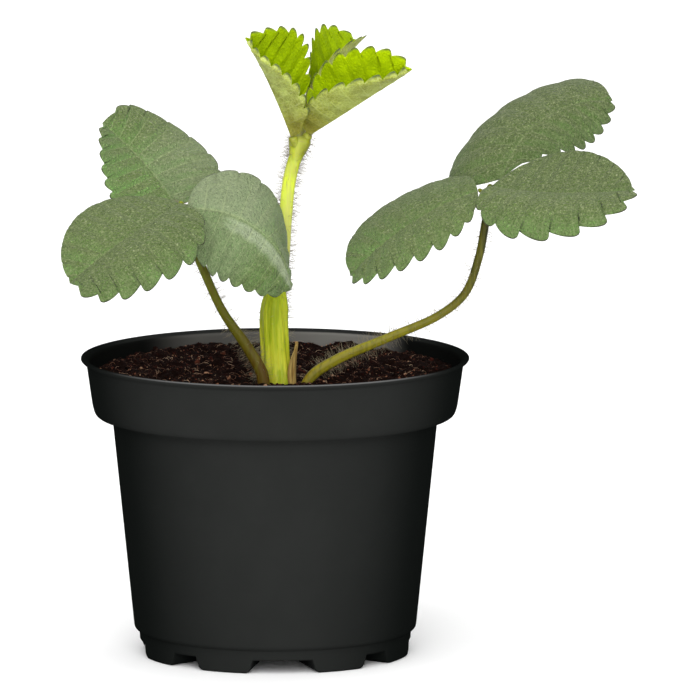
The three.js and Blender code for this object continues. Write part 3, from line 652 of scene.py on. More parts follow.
def hair_tree():
    """Fine tapered hairs that stand out from a stalk, each a little bent"""
    spread = Spread("hairs", {
        "Per square millimetre": 4.0, "Length": 3.0, "Root radius": 0.05, "Bend": 0.25, "Lean": 0.5,
        "Seed": 1,
    })
    length = spread.times(spread.given["Length"], MM)
    along = spread.node("GeometryNodeSplineParameter").outputs["Factor"]
    taper = spread.calc("SUBTRACT", 1.0, spread.times(along, 0.65))
    hair = spread.strand(
        (0, 0, -0.2 * MM),
        spread.vector(0.0, 0.0, spread.times(length, 0.55)),
        spread.vector(spread.times(length, spread.given["Bend"]), 0.0, length),
        3, spread.times(spread.given["Root radius"], MM, taper),
    )
    roots = spread.points("hairiness")
    lean = spread.given["Lean"]
    least = spread.times(lean, -1.0)
    spun = spread.turned(roots["Rotation"], 0.0, 0.0, spread.any_turn())
    tilted = spread.turned(spun, spread.random(least, lean), spread.random(least, lean), 0.0)
    placed = spread.node(
        "GeometryNodeInstanceOnPoints", Points=roots["Points"], Instance=hair,
        Rotation=tilted, Scale=spread.random(0.55, 1.15),
    )
    spread.end_with(placed.outputs[0])
    return spread


def crumb_tree():
    """Lumpy crumbs of soil in a few shapes, each with its own tone"""
    spread = Spread("crumbs", {
        "Per square millimetre": 1.0, "Smallest": 0.3, "Largest": 1.3, "Roughness": 0.7, "Seed": 2,
    })
    shapes = [crumb_shape(spread, k) for k in range(4)]
    places = spread.points("open_top")
    share = spread.calc("POWER", spread.random(0.0, 1.0), 2.6)
    span = spread.calc("SUBTRACT", spread.given["Largest"], spread.given["Smallest"])
    size = spread.calc("ADD", spread.given["Smallest"], spread.times(span, share))
    rotation = spread.turned(places["Rotation"], spread.any_turn(), spread.any_turn(), spread.any_turn())
    scale = spread.times(size, MM)
    spread.end_with(spread.place_any(places["Points"], spread.shelf(shapes), len(shapes), rotation, scale))
    return spread


def crumb_shape(spread, k):
    """Ball with a radius of about 1, pushed in and out and flattened in its own way for each k"""
    ball = spread.node("GeometryNodeMeshIcoSphere", Radius=1.0, Subdivisions=1)
    swirl = spread.node("ShaderNodeTexNoise", {"noise_dimensions": "4D"}, W=3.7 * k, Scale=0.9, Detail=1.0)
    push = spread.times(spread.calc("SUBTRACT", swirl.outputs["Fac"], 0.5), 2.0, spread.given["Roughness"])
    outwards = spread.node("ShaderNodeVectorMath", {"operation": "SCALE"}, Scale=push)
    spread.give(outwards.inputs[0], spread.node("GeometryNodeInputPosition").outputs[0])
    lump = spread.node("GeometryNodeSetPosition", Geometry=ball.outputs[0], Offset=outwards.outputs[0])
    flat = (1.0, 0.8 - 0.08 * k, 0.62)
    return spread.node("GeometryNodeTransform", Geometry=lump.outputs[0], Scale=flat).outputs[0]


def fibre_tree():
    """Thin curved strands that lie on the soil"""
    spread = Spread("fibres", {
        "Per square millimetre": 0.6, "Longest": 2.4, "Radius": 0.028, "Seed": 3,
    })
    thin = spread.calc("DIVIDE", spread.given["Radius"], spread.given["Longest"])
    shapes = [
        spread.strand((-0.5, 0, 0), (0, 2 * sway, 2 * arch), (0.5, 0.1, 0.06), 4, thin)
        for arch, sway in ((0.16, 0.25), (0.3, -0.12), (0.06, 0.4))
    ]
    places = spread.points("open_top")
    rotation = spread.turned(
        places["Rotation"], spread.random(-0.5, 0.5), spread.random(-0.45, 0.45), spread.any_turn(),
    )
    scale = spread.times(spread.given["Longest"], MM, spread.random(0.35, 1.0))
    spread.end_with(spread.place_any(places["Points"], spread.shelf(shapes), len(shapes), rotation, scale))
    return spread


# Finishes

def pot_finish():
    """Black moulded plastic, with painted light: lighter at the front and the back so its sides look darker,
    a painted lip highlight at the front, and a painted reflection inside the back wall
    """
    finish = Finish("black_pot_plastic")
    place = finish.place()
    x, y, z = finish.axes(place)
    radius = finish.calc("SQRT", finish.calc("ADD", finish.times(x, x), finish.times(y, y)))
    slope = (COLLAR_TOP_RADIUS - COLLAR_FOOT_RADIUS) / (POT_HEIGHT - COLLAR_FOOT_Z)
    at_floor = COLLAR_FOOT_RADIUS - WALL / 2 - slope * COLLAR_FOOT_Z
    middle_of_wall = finish.calc("MULTIPLY_ADD", z, slope, at_floor)
    # Painted light: the plastic is lighter towards the front and the back, so that its sides look darker
    painted_front_light = finish.times(
        finish.fade(finish.noise(place, 14, detail=4), 0.35, 0.7, 0.9, 1),
        finish.fade(finish.calc("ABSOLUTE", y), 18, 52),
    )
    inside = finish.times(
        finish.fade(finish.calc("SUBTRACT", radius, middle_of_wall), -0.2, 0.2, 1, 0),
        finish.fade(z, COLLAR_FOOT_Z + 4, COLLAR_FOOT_Z + 8),
    )
    # Painted reflection: a light grey patch on the inside of the back wall, above the soil
    painted_wall_reflection = finish.times(
        inside, finish.fade(y, 30, 44), finish.fade(x, -42, -22), finish.fade(x, 30, 42, 1, 0),
        finish.fade(x, -20, 24, 0.45, 0.85),
    )
    # Painted highlight: a thin light line along the top of the lip at the front
    painted_lip_highlight = finish.times(
        finish.fade(z, POT_HEIGHT - 0.5, POT_HEIGHT - 0.15), finish.fade(y, -30, -54),
        finish.fade(radius, RIM_RADIUS - 0.8, RIM_RADIUS - 0.5),
    )
    tone = finish.coats(
        colour(14, 16, 15), (painted_front_light, colour(34, 35, 34)), (inside, colour(13, 14, 13)),
        (painted_wall_reflection, colour(112, 110, 106)), (painted_lip_highlight, colour(84, 84, 84)),
    )
    normal = finish.bump(finish.noise(place, 9, detail=1), 0.05)
    normal = finish.bump(finish.noise(place, 0.35, detail=2), 0.012, normal)
    return finish.surface(Base_Color=tone, Roughness=0.6, Normal=normal, Specular_IOR_Level=0.0)


def soil_tones(finish, tone, place):
    """Dark brown with reddish and dry lighter crumbs"""
    patch = finish.fade(finish.noise(place, 1.4, detail=4), 0.3, 0.7)
    return finish.blend(finish.times(patch, 0.55), finish.ramp(tone, SOIL_STOPS), colour(14, 7, 4))


def soil_finish():
    finish = Finish("moist_coir_soil")
    place = finish.place()
    grain = finish.noise(place, 0.9, detail=6, rough=0.7)
    tone = soil_tones(finish, finish.fade(grain, 0.2, 0.9), place)
    normal = finish.bump(grain, 0.7)
    return finish.surface(Base_Color=tone, Roughness=0.9, Normal=normal, Specular_IOR_Level=0.02)


def crumb_finish():
    finish = Finish("soil_crumbs")
    place = finish.place()
    tone = soil_tones(finish, finish.attribute("tone"), place)
    normal = finish.bump(finish.noise(place, 0.4, detail=3, rough=0.7), 0.2)
    return finish.surface(Base_Color=tone, Roughness=0.85, Normal=normal, Specular_IOR_Level=0.03)


def fibre_finish():
    finish = Finish("coir_fibres")
    tone = finish.ramp(finish.attribute("tone"), FIBRE_STOPS)
    return finish.surface(Base_Color=tone, Roughness=0.7, Specular_IOR_Level=0.1)


def root_finish():
    finish = Finish("brown_roots")
    streak = finish.noise(finish.place(), 0.8, detail=3)
    tone = finish.blend(streak, colour(104, 72, 46), colour(158, 122, 84))
    return finish.surface(Base_Color=tone, Roughness=0.85, Normal=finish.bump(streak, 0.1))


def leaf_finish(name, tones, puff_height, **gloss):
    """Leaf blade: quilted between fine veins, lighter main veins, a thin dark rim, and a paler underside"""
    tones = {key: colour(*tone) if isinstance(tone, tuple) else tone for key, tone in tones.items()}
    finish = Finish(name)
    flat = finish.attribute("flat", "Vector")
    wobble = finish.node("ShaderNodeTexNoise", Vector=flat, Scale=0.6)
    warp = finish.node("ShaderNodeVectorMath", {"operation": "ADD"})
    finish.give(warp.inputs[0], flat)
    finish.give(warp.inputs[1], wobble.outputs["Color"])
    cell = finish.cells(warp.outputs[0], 1.25)
    fine_cell = finish.cells(warp.outputs[0], 0.6)
    vein = finish.fade(finish.attribute("vein_gap"), 0.02, 0.3, 1, 0)
    midrib = finish.fade(finish.attribute("midrib_gap"), 0.1, 0.45, 1, 0)
    pattern = dict(
        lines=finish.calc("MAXIMUM", vein, midrib),
        net=finish.fade(cell, 0.0, 0.14, 1, 0),
        puff=finish.fade(cell, 0.0, 0.45),
        mottle=finish.noise(finish.place(), 5, detail=3, rough=0.5),
        speckle=finish.noise(finish.place(), 0.75, detail=4, rough=0.75),
        shade=finish.attribute("shade"),
        from_base=finish.axes(flat)["X"],
    )
    rim = finish.times(
        finish.fade(finish.attribute("rim_gap"), tones["rim_from"], tones["rim_to"], 1, 0),
        finish.attribute("tooth_tip"),
    )
    tone = finish.coats(
        upper_face(finish, tones, pattern),
        (finish.attribute("underside"), lower_face(finish, tones, pattern)),
        (rim, tones["rim"]),
    )
    height = finish.calc(
        "ADD", finish.times(pattern["puff"], 0.75), finish.times(finish.fade(fine_cell, 0.0, 0.4), 0.25),
    )
    normal = finish.bump(pattern["speckle"], 0.16, finish.bump(height, puff_height))
    roughness = finish.fade(pattern["speckle"], 0.3, 0.7, 0.5, 0.66)
    return finish.surface(Base_Color=tone, Roughness=roughness, Normal=normal, **gloss)


def upper_face(finish, tones, pattern):
    """Mottled green, with a painted olive-brown sheen where it looks at the sky, painted shade on the halves
    with a shade value, in the dips and in the creases, and specks, a painted silver sheen and veins over it
    """
    mottle, speckle = pattern["mottle"], pattern["speckle"]
    # Painted sheen: an olive-brown tone where the upper face looks at the sky
    bronze = finish.attribute("bronze")
    grain = finish.fade(bronze, 0, 1, 0.5 * tones["speck_share"], tones["speck_share"])
    vein_share = finish.calc("ADD", finish.attribute("veined"), tones["vein_share"])
    return finish.coats(
        tones["deep"],
        (finish.fade(mottle, 0.3, 0.7), tones["fresh"]),
        (finish.attribute("bright_green"), tones["bright"]),
        (finish.times(bronze, finish.fade(mottle, 0.25, 0.6, 0.3, 0.7)), tones["bronze"]),
        (pattern["shade"], tones["shade"]),
        (finish.times(finish.fade(speckle, 0.5, 0.7), grain), tones["speck"]),
        (finish.times(finish.fade(speckle, 0.48, 0.3), grain), tones["shade"]),
        # Painted shade in the dips between the puffs, and below it in the creases
        (finish.fade(pattern["puff"], 0.0, 0.8, tones["dip_share"], 0), tones["shade"]),
        (finish.attribute("painted_silver_sheen"), tones["painted_silver_sheen"]),
        (finish.times(pattern["net"], tones["net_share"]), tones["vein"]),
        (finish.times(pattern["lines"], vein_share), tones["vein"]),
        (finish.times(finish.attribute("crease"), tones["crease_share"]), tones["shade"]),
    )


def lower_face(finish, tones, pattern):
    """Paler underside with a net of veins, darker at its foot"""
    return finish.coats(
        tones["under"],
        (finish.fade(pattern["mottle"], 0.3, 0.7), tones["under_deep"]),
        # Painted shade on the halves that have a shade value
        (finish.times(pattern["shade"], 0.6), tones["under_deep"]),
        (finish.fade(pattern["speckle"], 0.45, 0.7, 0, 0.5), tones["under_deep"]),
        (finish.times(pattern["net"], 0.3), tones["under_vein"]),
        (finish.times(pattern["lines"], 0.25), tones["under_vein"]),
        (finish.fade(pattern["from_base"], 2, 15, 0.75, 0), tones["foot"]),
    )


def stalk_finish(name, stops, stripe):
    """Ribbed green stalk, whose colour changes from its foot (0) to its top (1)"""
    finish = Finish(name)
    drift = finish.fade(finish.noise(finish.place(), 5, detail=3), 0, 1, -0.08, 0.08)
    along = finish.calc("ADD", finish.attribute("along"), drift, clamp=True)
    streaks = finish.noise(finish.place((1, 1, 0.08)), 0.9, detail=4)
    streak = finish.times(finish.fade(streaks, 0.42, 0.62, 0, 0.75), finish.fade(along, 0.8, 1, 1, 0.2))
    groove = finish.times(finish.attribute("groove"), 0.35)
    tone = finish.coats(finish.ramp(along, stops), (streak, colour(*stripe)), (groove, colour(*stripe)))
    return finish.surface(
        Base_Color=tone, Roughness=0.5, Normal=finish.bump(streaks, 0.12), Specular_IOR_Level=0.18,
        Subsurface_Weight=0.12, Subsurface_Scale=0.001,
    )


def stipule_finish():
    finish = Finish("papery_scale")
    streaks = finish.noise(finish.place((1, 1, 0.1)), 0.7, detail=4)
    tone = finish.ramp(streaks, SCALE_STOPS)
    normal = finish.bump(streaks, 0.15)
    return finish.surface(Base_Color=tone, Roughness=0.6, Normal=normal, Specular_IOR_Level=0.35)


def hair_finish():
    finish = Finish("pale_hairs")
    tone = finish.blend(finish.noise(finish.place(), 2.0), colour(96, 88, 66), colour(140, 130, 106))
    return finish.surface(Base_Color=tone, Roughness=0.5, Specular_IOR_Level=0.3)


# Pot

def pad_reach(degrees_round):
    """Distance along the foot's edge from a pad's side, above 0 in the pad and below 0 in the channel"""
    turn = (degrees_round - PAD_TURN) % 90
    turn = np.minimum(turn, 90 - turn)
    edge = np.minimum(turn - WIDE_CHANNEL_ANGLE / 2, 45 - NARROW_CHANNEL_ANGLE / 2 - turn)
    return np.radians(edge) * FOOT_RADIUS


def underside(radius, degrees_round):
    """Height of the pot's underside: hub and pads stand on the floor, with channels between them"""
    into_pad = pad_reach(degrees_round) * np.maximum(radius, PAD_INNER_RADIUS) / FOOT_RADIUS
    corner = np.clip(PAD_CORNER - into_pad, 0, PAD_CORNER)
    rounded = PAD_CORNER - np.sqrt(np.maximum(PAD_CORNER ** 2 - corner ** 2, 0))
    pad = lerp(FLOOR_Z, rounded, smoothstep(into_pad, -0.5, 0.05))
    pad = lerp(FLOOR_Z, pad, smoothstep(radius, PAD_INNER_RADIUS - 0.5, PAD_INNER_RADIUS + 0.3))
    return lerp(0, pad, smoothstep(radius, HUB_RADIUS - 0.3, HUB_RADIUS + 0.5))


def angles_round_pot():
    """Degrees round the pot, close together at the edges of the channels"""
    edges = []
    for quarter in range(4):
        for edge in (WIDE_CHANNEL_ANGLE / 2, 45 - NARROW_CHANNEL_ANGLE / 2):
            for way in (1, -1):
                middle = PAD_TURN + 90 * quarter + way * edge
                edges.extend(middle + np.degrees(np.linspace(-3, 3, 13) / FOOT_RADIUS))
    return np.unique(np.round(np.concatenate([np.arange(0, 360, 2.5), np.array(edges) % 360]), 2))


def foot_rings(angles, foot_top):
    """Rings from the middle of the underside out round the foot's edge and up to `foot_top`"""
    reach = np.concatenate([
        np.linspace(0.8, HUB_RADIUS - 0.3, 6), np.linspace(HUB_RADIUS - 0.2, HUB_RADIUS + 0.6, 6),
        np.linspace(HUB_RADIUS + 1, PAD_INNER_RADIUS - 0.6, 5),
        np.linspace(PAD_INNER_RADIUS - 0.4, PAD_INNER_RADIUS + 0.4, 5),
        np.linspace(PAD_INNER_RADIUS + 1, FOOT_RADIUS - FOOT_EDGE - 0.1, 16),
    ])
    rings = [(radius, underside(np.full_like(angles, radius), angles)) for radius in reach]
    edge_low = underside(np.full_like(angles, FOOT_RADIUS), angles)
    for share in np.linspace(0, 1, 5)[1:]:
        swing = share * math.pi / 2
        rings.append((
            FOOT_RADIUS - FOOT_EDGE + FOOT_EDGE * math.sin(swing),
            edge_low + FOOT_EDGE * (1 - math.cos(swing)),
        ))
    for share in np.linspace(0, 1, 6)[1:]:
        rings.append((FOOT_RADIUS + 0.1 * share, lerp(edge_low + FOOT_EDGE, foot_top, share)))
    return rings


def wall_corners(foot_top):
    """Corners of the wall from the foot up its outside, over the lip, and down its inside to the floor.

    Each is radius, height and rounding.
    """
    lip_foot = POT_HEIGHT - LIP_THICKNESS
    return [
        (FOOT_RADIUS + 0.1, foot_top, 0),
        (FOOT_RADIUS + 0.2, STEP_Z - 1.1, 0.4),
        (BODY_FOOT_RADIUS - 0.1, STEP_Z - 0.2, 0.8),
        (BODY_FOOT_RADIUS + 0.15, STEP_Z + 1.6, 0.8),
        (BODY_TOP_RADIUS - 0.1, COLLAR_FOOT_Z - 0.9, 0.9),
        (BODY_TOP_RADIUS + 0.9, COLLAR_FOOT_Z - 0.1, 0.6),
        (COLLAR_FOOT_RADIUS - 0.6, COLLAR_FOOT_Z + 0.1, 1.8),
        (COLLAR_FOOT_RADIUS + 0.35, COLLAR_FOOT_Z + 3.2, 2.4),
        (COLLAR_TOP_RADIUS, lip_foot, 0.3),
        (RIM_RADIUS - 0.4, POT_HEIGHT - 1.1, 0.35),
        (RIM_RADIUS, POT_HEIGHT - 0.55, 0.3),
        (RIM_RADIUS - 0.25, POT_HEIGHT, 0.35),
        (COLLAR_TOP_RADIUS + 0.4, POT_HEIGHT - 0.05, 0.5),
        (COLLAR_TOP_RADIUS - WALL + 0.1, POT_HEIGHT - 1.1, 0.9),
        (COLLAR_FOOT_RADIUS - WALL + 0.3, COLLAR_FOOT_Z + 3, 0.8),
        (BODY_TOP_RADIUS - 0.3, COLLAR_FOOT_Z + WALL, 0.6),
        (BODY_TOP_RADIUS - WALL - 0.1, COLLAR_FOOT_Z - 0.4, 0.5),
        (BODY_FOOT_RADIUS - WALL, STEP_Z + 0.4, 0.6),
        (FOOT_RADIUS - WALL + 0.1, FLOOR_Z + FLOOR_THICKNESS, 0.6),
        (1, FLOOR_Z + FLOOR_THICKNESS, 0),
    ]


def rounded_path(corners):
    """Profile through the corners (radius, height, rounding), each rounded by its own amount"""
    path = []
    for k, (r, z, rounding) in enumerate(corners):
        here = np.array([r, z])
        if rounding == 0 or k in (0, len(corners) - 1):
            path.append(here)
            continue
        before = np.array(corners[k - 1][:2])
        after = np.array(corners[k + 1][:2])
        reach = min(rounding, 0.49 * np.linalg.norm(before - here), 0.49 * np.linalg.norm(after - here))
        start = here + (before - here) / np.linalg.norm(before - here) * reach
        end = here + (after - here) / np.linalg.norm(after - here) * reach
        path.extend(quadratic(start, here, end, share) for share in np.linspace(0, 1, 6))
    return np.array(path)


def build_pot(finish):
    angles = angles_round_pot()
    turns = np.radians(angles)
    foot_top = STEP_Z - 1.6
    rings = foot_rings(angles, foot_top) + list(rounded_path(wall_corners(foot_top))[1:])
    radii = np.array([np.full_like(turns, radius) for radius, _ in rings])
    heights = np.array([np.full_like(turns, height) for _, height in rings])
    walls = np.stack([radii * np.cos(turns), radii * np.sin(turns), heights], axis=-1)
    points = np.vstack([walls.reshape(-1, 3), [[0, 0, 0], [0, 0, FLOOR_Z + FLOOR_THICKNESS]]])
    pot = make_piece("pot_moulding", points, ringed_faces(*radii.shape), finish)
    drill_drain_holes(pot)
    attach(pot, "pot")


def drill_drain_holes(pot):
    """Cuts the round holes through the channels of the pot's floor"""
    points = []
    faces = []
    sides = 32
    for i in range(PAD_COUNT):
        middle = math.radians(360 / PAD_COUNT * i + PAD_TURN)
        centre = DRAIN_HOLE_RING * np.array([math.cos(middle), math.sin(middle)])
        start = len(points)
        for z in (FLOOR_Z - 2, FLOOR_Z + FLOOR_THICKNESS + 2):
            for turn in round_turns(sides):
                x, y = centre + DRAIN_HOLE_RADIUS * np.array([math.cos(turn), math.sin(turn)])
                points.append((x, y, z))
        faces.append(tuple(range(start + sides - 1, start - 1, -1)))
        faces.append(tuple(range(start + sides, start + 2 * sides)))
        for k in range(sides):
            following = (k + 1) % sides
            faces.append((start + k, start + following, start + sides + following, start + sides + k))
    drill = make_piece("drain_drill", points, faces, pot.data.materials[0], smooth=False)
    cut = pot.modifiers.new("drain", "BOOLEAN")
    cut.object = drill
    cut.solver = "EXACT"
    drilled = evaluated_mesh(pot)
    pot.modifiers.clear()
    pot.data = drilled
    bpy.data.objects.remove(drill)


# Soil

def soil_height(x, y):
    """Height of the lumpy surface at a place on it"""
    ripple = (
        0.45 * math.sin(x * 0.19 + 1.3) * math.cos(y * 0.23 - 0.4)
        + 0.35 * math.sin(x * 0.41 - y * 0.33 + 2.1)
        + 0.25 * math.sin(x * 0.62 + y * 0.71 + 0.6)
    )
    height = SOIL_LEVEL + SOIL_LUMP * ripple
    height -= SOIL_DIP * math.exp(-((math.hypot(x - CROWN_X, y - CROWN_Y) / SOIL_DIP_RADIUS) ** 2))
    for mound_x, mound_y, rise, spread in MOUNDS:
        height += rise * math.exp(-(((x - mound_x) ** 2 + (y - mound_y) ** 2) / spread ** 2))
    return height + SOIL_GRAIN * noise.fractal(Vector((x * 0.28, y * 0.28, 3.0)), 0.9, 2.1, 5)


def build_soil(finish):
    """Filling of the pot. Its attribute open_top is 1 where crumbs and fibres lie."""
    segments = 300
    top_radius = COLLAR_TOP_RADIUS - WALL - GAP - 0.5
    turns = round_turns(segments)
    points = [(0, 0, soil_height(0, 0))]
    open_top = [1.0]
    top_rings = np.linspace(0, 1, 80)[1:] * top_radius
    for ring in top_rings:
        for turn in turns:
            x, y = ring * math.cos(turn), ring * math.sin(turn)
            points.append((x, y, soil_height(x, y)))
            open_top.append(1.0 if ring < top_radius - 1 else 0.0)
    side_rings = [
        (COLLAR_FOOT_RADIUS - WALL - GAP - 0.2, COLLAR_FOOT_Z + 3.3),
        (COLLAR_FOOT_RADIUS - WALL - GAP - 1.4, COLLAR_FOOT_Z + WALL + GAP),
        (BODY_TOP_RADIUS - WALL + 0.2, COLLAR_FOOT_Z + WALL + GAP),
        (BODY_TOP_RADIUS - WALL - GAP - 0.3, COLLAR_FOOT_Z + 0.6),
        (BODY_FOOT_RADIUS - WALL - GAP - 0.2, STEP_Z + 0.8),
        (FOOT_RADIUS - WALL - GAP - 0.4, FLOOR_Z + FLOOR_THICKNESS + GAP),
    ]
    for radius, height in side_rings:
        for turn in turns:
            points.append((radius * math.cos(turn), radius * math.sin(turn), height))
            open_top.append(0.0)
    rows = len(top_rings) + len(side_rings)
    faces = grid_faces(rows, segments, start=1, closed=True)
    faces += [(0, 1 + j, 1 + (j + 1) % segments) for j in range(segments)]
    last = 1 + (rows - 1) * segments
    faces.append(tuple(last + j for j in reversed(range(segments))))
    return make_piece("soil_body", points, faces, finish, "soil", "soil", open_top=open_top)


# Crown and stalks

def stem_piece(name, parts, finish, slot, stands_for):
    """Joins rods into one piece.

    Each part is its centres, its radii, where it starts and ends as shares of the stem, and how hairy its
    rings are. The front of each rod has a groove with few hairs.
    """
    points, faces, along, groove, hairiness = [], [], [], [], []
    start = 0
    for centres, radii, span, hairy in parts:
        rod_points, rod_faces = rod(centres, radii)
        rings, sides = radii.shape
        points.append(rod_points)
        faces += [tuple(start + k for k in face) for face in rod_faces]
        facing = np.cos(round_turns(sides))
        bare = 1 - 0.9 * np.tile(smoothstep(facing, -0.05, 0.55), rings)
        along.append(np.concatenate([np.repeat(np.linspace(*span, rings), sides), span]))
        groove.append(np.concatenate([np.tile(smoothstep(facing, 0.72, 0.98), rings), [0, 0]]))
        hairiness.append(np.concatenate([bare * np.repeat(hairy, sides), [0, 0]]))
        start += len(rod_points)
    return make_piece(
        name, np.vstack(points), faces, finish, slot, stands_for,
        along=np.concatenate(along), groove=np.concatenate(groove), hairiness=np.concatenate(hairiness),
    )


def build_crown(finish):
    """Ribbed column of three sheaths that wrap round each other"""
    rings, sides = 90, 108
    centres = curve_through([
        (CROWN_X, CROWN_Y, CROWN_FOOT), (CROWN_X, CROWN_Y, SOIL_LEVEL - 2),
        (CROWN_X - 0.4, CROWN_Y, SOIL_LEVEL + 10), (CROWN_X - 0.8, CROWN_Y, SOIL_LEVEL + 20),
        (CROWN_X - 0.2, CROWN_Y, CROWN_TOP),
    ], rings)
    along = np.linspace(0, 1, rings)[:, None]
    turns = round_turns(sides)[None]
    swell = np.exp(-(((along - 0.27) / 0.11) ** 2))
    shoulder = 1.35 * smoothstep(along, 0.8, 1)
    wrap = (3 * turns / (2 * np.pi) + 0.35 + 0.5 * along) % 1
    ribs = 1 + 0.035 * np.cos(CROWN_RIBS * turns + 0.8 * np.sin(3 * along))
    ribs = ribs + 0.09 * (wrap - 0.5) * smoothstep(1 - wrap, 0, 0.06)
    ribs = ribs + 0.012 * np.cos(3 * CROWN_RIBS * turns + 5 * along)
    radii = (CROWN_RADIUS + swell - shoulder) * ribs
    hairy = smoothstep(centres[:, 2], SOIL_LEVEL - 1, SOIL_LEVEL + 2)
    return stem_piece("crown_sheath", [(centres, radii, (0, 1), hairy)], finish, "crown", "crown")


def build_stalk(name, finish):
    """A leaf's stalk, with its flared top and the short stalks of its leaflets"""
    stalk = STALKS[name]
    rings, sides = 150, 24
    centres = curve_through(stalk["points"], rings)
    along = np.linspace(0, 1, rings)
    radius = lerp(*stalk["radius"], smoothstep(along, 0, 0.6))
    turns = round_turns(sides)
    channel = 1 - 0.1 * smoothstep(np.cos(turns), 0.7, 1.0) + 0.03 * np.cos(6 * turns)
    hairy = smoothstep(centres[:, 2], SOIL_LEVEL - 1, SOIL_LEVEL + 5) * (1 - smoothstep(along, 0.97, 1))
    parts = [(centres, radius[:, None] * channel[None], (0, 1), hairy)]
    fork = centres[int(0.99 * (rings - 1))]
    for leaflet in stalk["leaflets"]:
        parts.append(stalklet(fork, LEAFLETS[leaflet], stalk["fork"]))
    bases = np.mean([LEAFLETS[leaflet]["base"] for leaflet in stalk["leaflets"]], axis=0)
    parts.append(neck(fork, centres[-1] - centres[-2], bases - fork, stalk["fork"][0], stalk["neck"]))
    return stem_piece(name + "_stalk", parts, finish, stalk["slot"], name)


def stalklet(fork, leaf, radii):
    """Short stalk from the fork to a leaflet, which it meets end on"""
    rings, sides = 24, 16
    forward = directions(leaf, np.array([0.0]))[0][0]
    end = np.array(leaf["base"]) - 0.3 * GAP * forward
    bow = end - 0.25 * np.linalg.norm(end - fork) * forward
    share = np.linspace(0, 1, rings)[:, None]
    rounded = np.sqrt(1 - 0.7 * smoothstep(share, 0.82, 1.0) ** 2)
    radii = np.repeat(lerp(0.7 * radii[0], radii[1], share) * rounded, sides, axis=1)
    return quadratic(fork, bow, end, share), radii, (1, 1), np.full(rings, 0.5)


def neck(fork, stalk_way, leaf_way, radius, length):
    """Flared top of a stalk, which runs on from the stalk and turns towards the middle of its leaflets"""
    rings, sides = 28, 24
    share = np.linspace(0, 1, rings)[:, None]
    foot = fork - 1.5 * length * unit(stalk_way)
    top = fork + 1.2 * length * unit(leaf_way)
    flare = lerp(0.78, 1.66, smoothstep(share, 0, 1) ** 1.1)
    rounded = np.sqrt(1 - 0.75 * share ** 9)
    radii = np.repeat(radius * flare * rounded, sides, axis=1)
    return quadratic(foot, fork, top, share), radii, (0.93, 1), np.full(rings, 0.5)


def build_stipule(finish):
    """Papery scale that hugs the right of the crown"""
    rows, columns = 60, 40
    along = np.linspace(0, 1, rows)[:, None]
    across = np.linspace(-1, 1, columns)[None]
    taper = np.sqrt(1 - 0.93 * along ** 3)
    half_width = SCALE_HALF_ANGLE * (0.75 + 0.25 * np.sin(np.pi * along)) * taper
    turn = np.radians(SCALE_FACING + across * half_width)
    flare = 0.35 * along + 0.5 * np.sin(2.5 * along) * across ** 2
    crinkle = 0.1 * np.cos(9 * across + 2 * along) + 0.08 * np.sin(17 * across)
    inner = SCALE_RADIUS - 0.45 * np.sin(np.pi * along) + flare + crinkle
    z = SCALE_FOOT + SCALE_HEIGHT * along - 0.8 * across ** 2 * along
    layers = []
    for radius in (inner + SCALE_THICKNESS, inner):
        x = CROWN_X + radius * np.cos(turn)
        y = CROWN_Y + radius * np.sin(turn)
        layers.append(np.stack([x, y, z], axis=-1))
    points, faces = shell(*layers)
    make_piece("papery_scale", points, faces, finish, "stipule", "stipule")


def shell(outer, inner):
    """Closed sheet between two grids of points. Row x column direction points in for this winding."""
    rows, columns = outer.shape[:2]
    count = rows * columns
    points = np.vstack([outer.reshape(-1, 3), inner.reshape(-1, 3)])
    faces = flipped(grid_faces(rows, columns)) + grid_faces(rows, columns, start=count)
    border = list(range(columns))
    border += [i * columns + columns - 1 for i in range(1, rows)]
    border += [(rows - 1) * columns + j for j in range(columns - 2, -1, -1)]
    border += [i * columns for i in range(rows - 2, 0, -1)]
    for here, following in zip(border, border[1:] + border[:1]):
        faces.append((here + count, following + count, following, here))
    return points, faces


# Leaflets

def directions(leaf, along):
    """Forward, left and up directions at shares of the way along the midrib"""
    heading = np.radians(leaf["heading"] + leaf["turn"] * along)
    rise = np.radians(leaf["rise"] - leaf["droop"] * along)
    roll = np.radians(leaf["roll"] + leaf["twist"] * along)[:, None]
    level = np.stack([-np.sin(heading), np.cos(heading), 0 * heading], axis=1)
    forward = np.stack([
        np.cos(rise) * np.cos(heading), np.cos(rise) * np.sin(heading), np.sin(rise),
    ], axis=1)
    above = np.cross(forward, level)
    left = level * np.cos(roll) + above * np.sin(roll)
    up = above * np.cos(roll) - level * np.sin(roll)
    return forward, left, up


def midrib_frames(leaf):
    """Distance along the midrib, and its places and directions there"""
    steps = 80
    along = np.linspace(0, OVERRUN, steps + 1)
    stride = directions(leaf, (along[1:] + along[:-1]) / 2)[0] * (OVERRUN / steps * leaf["length"])
    place = np.array(leaf["base"]) + np.vstack([np.zeros(3), np.cumsum(stride, axis=0)])
    return along * leaf["length"], place, *directions(leaf, along)


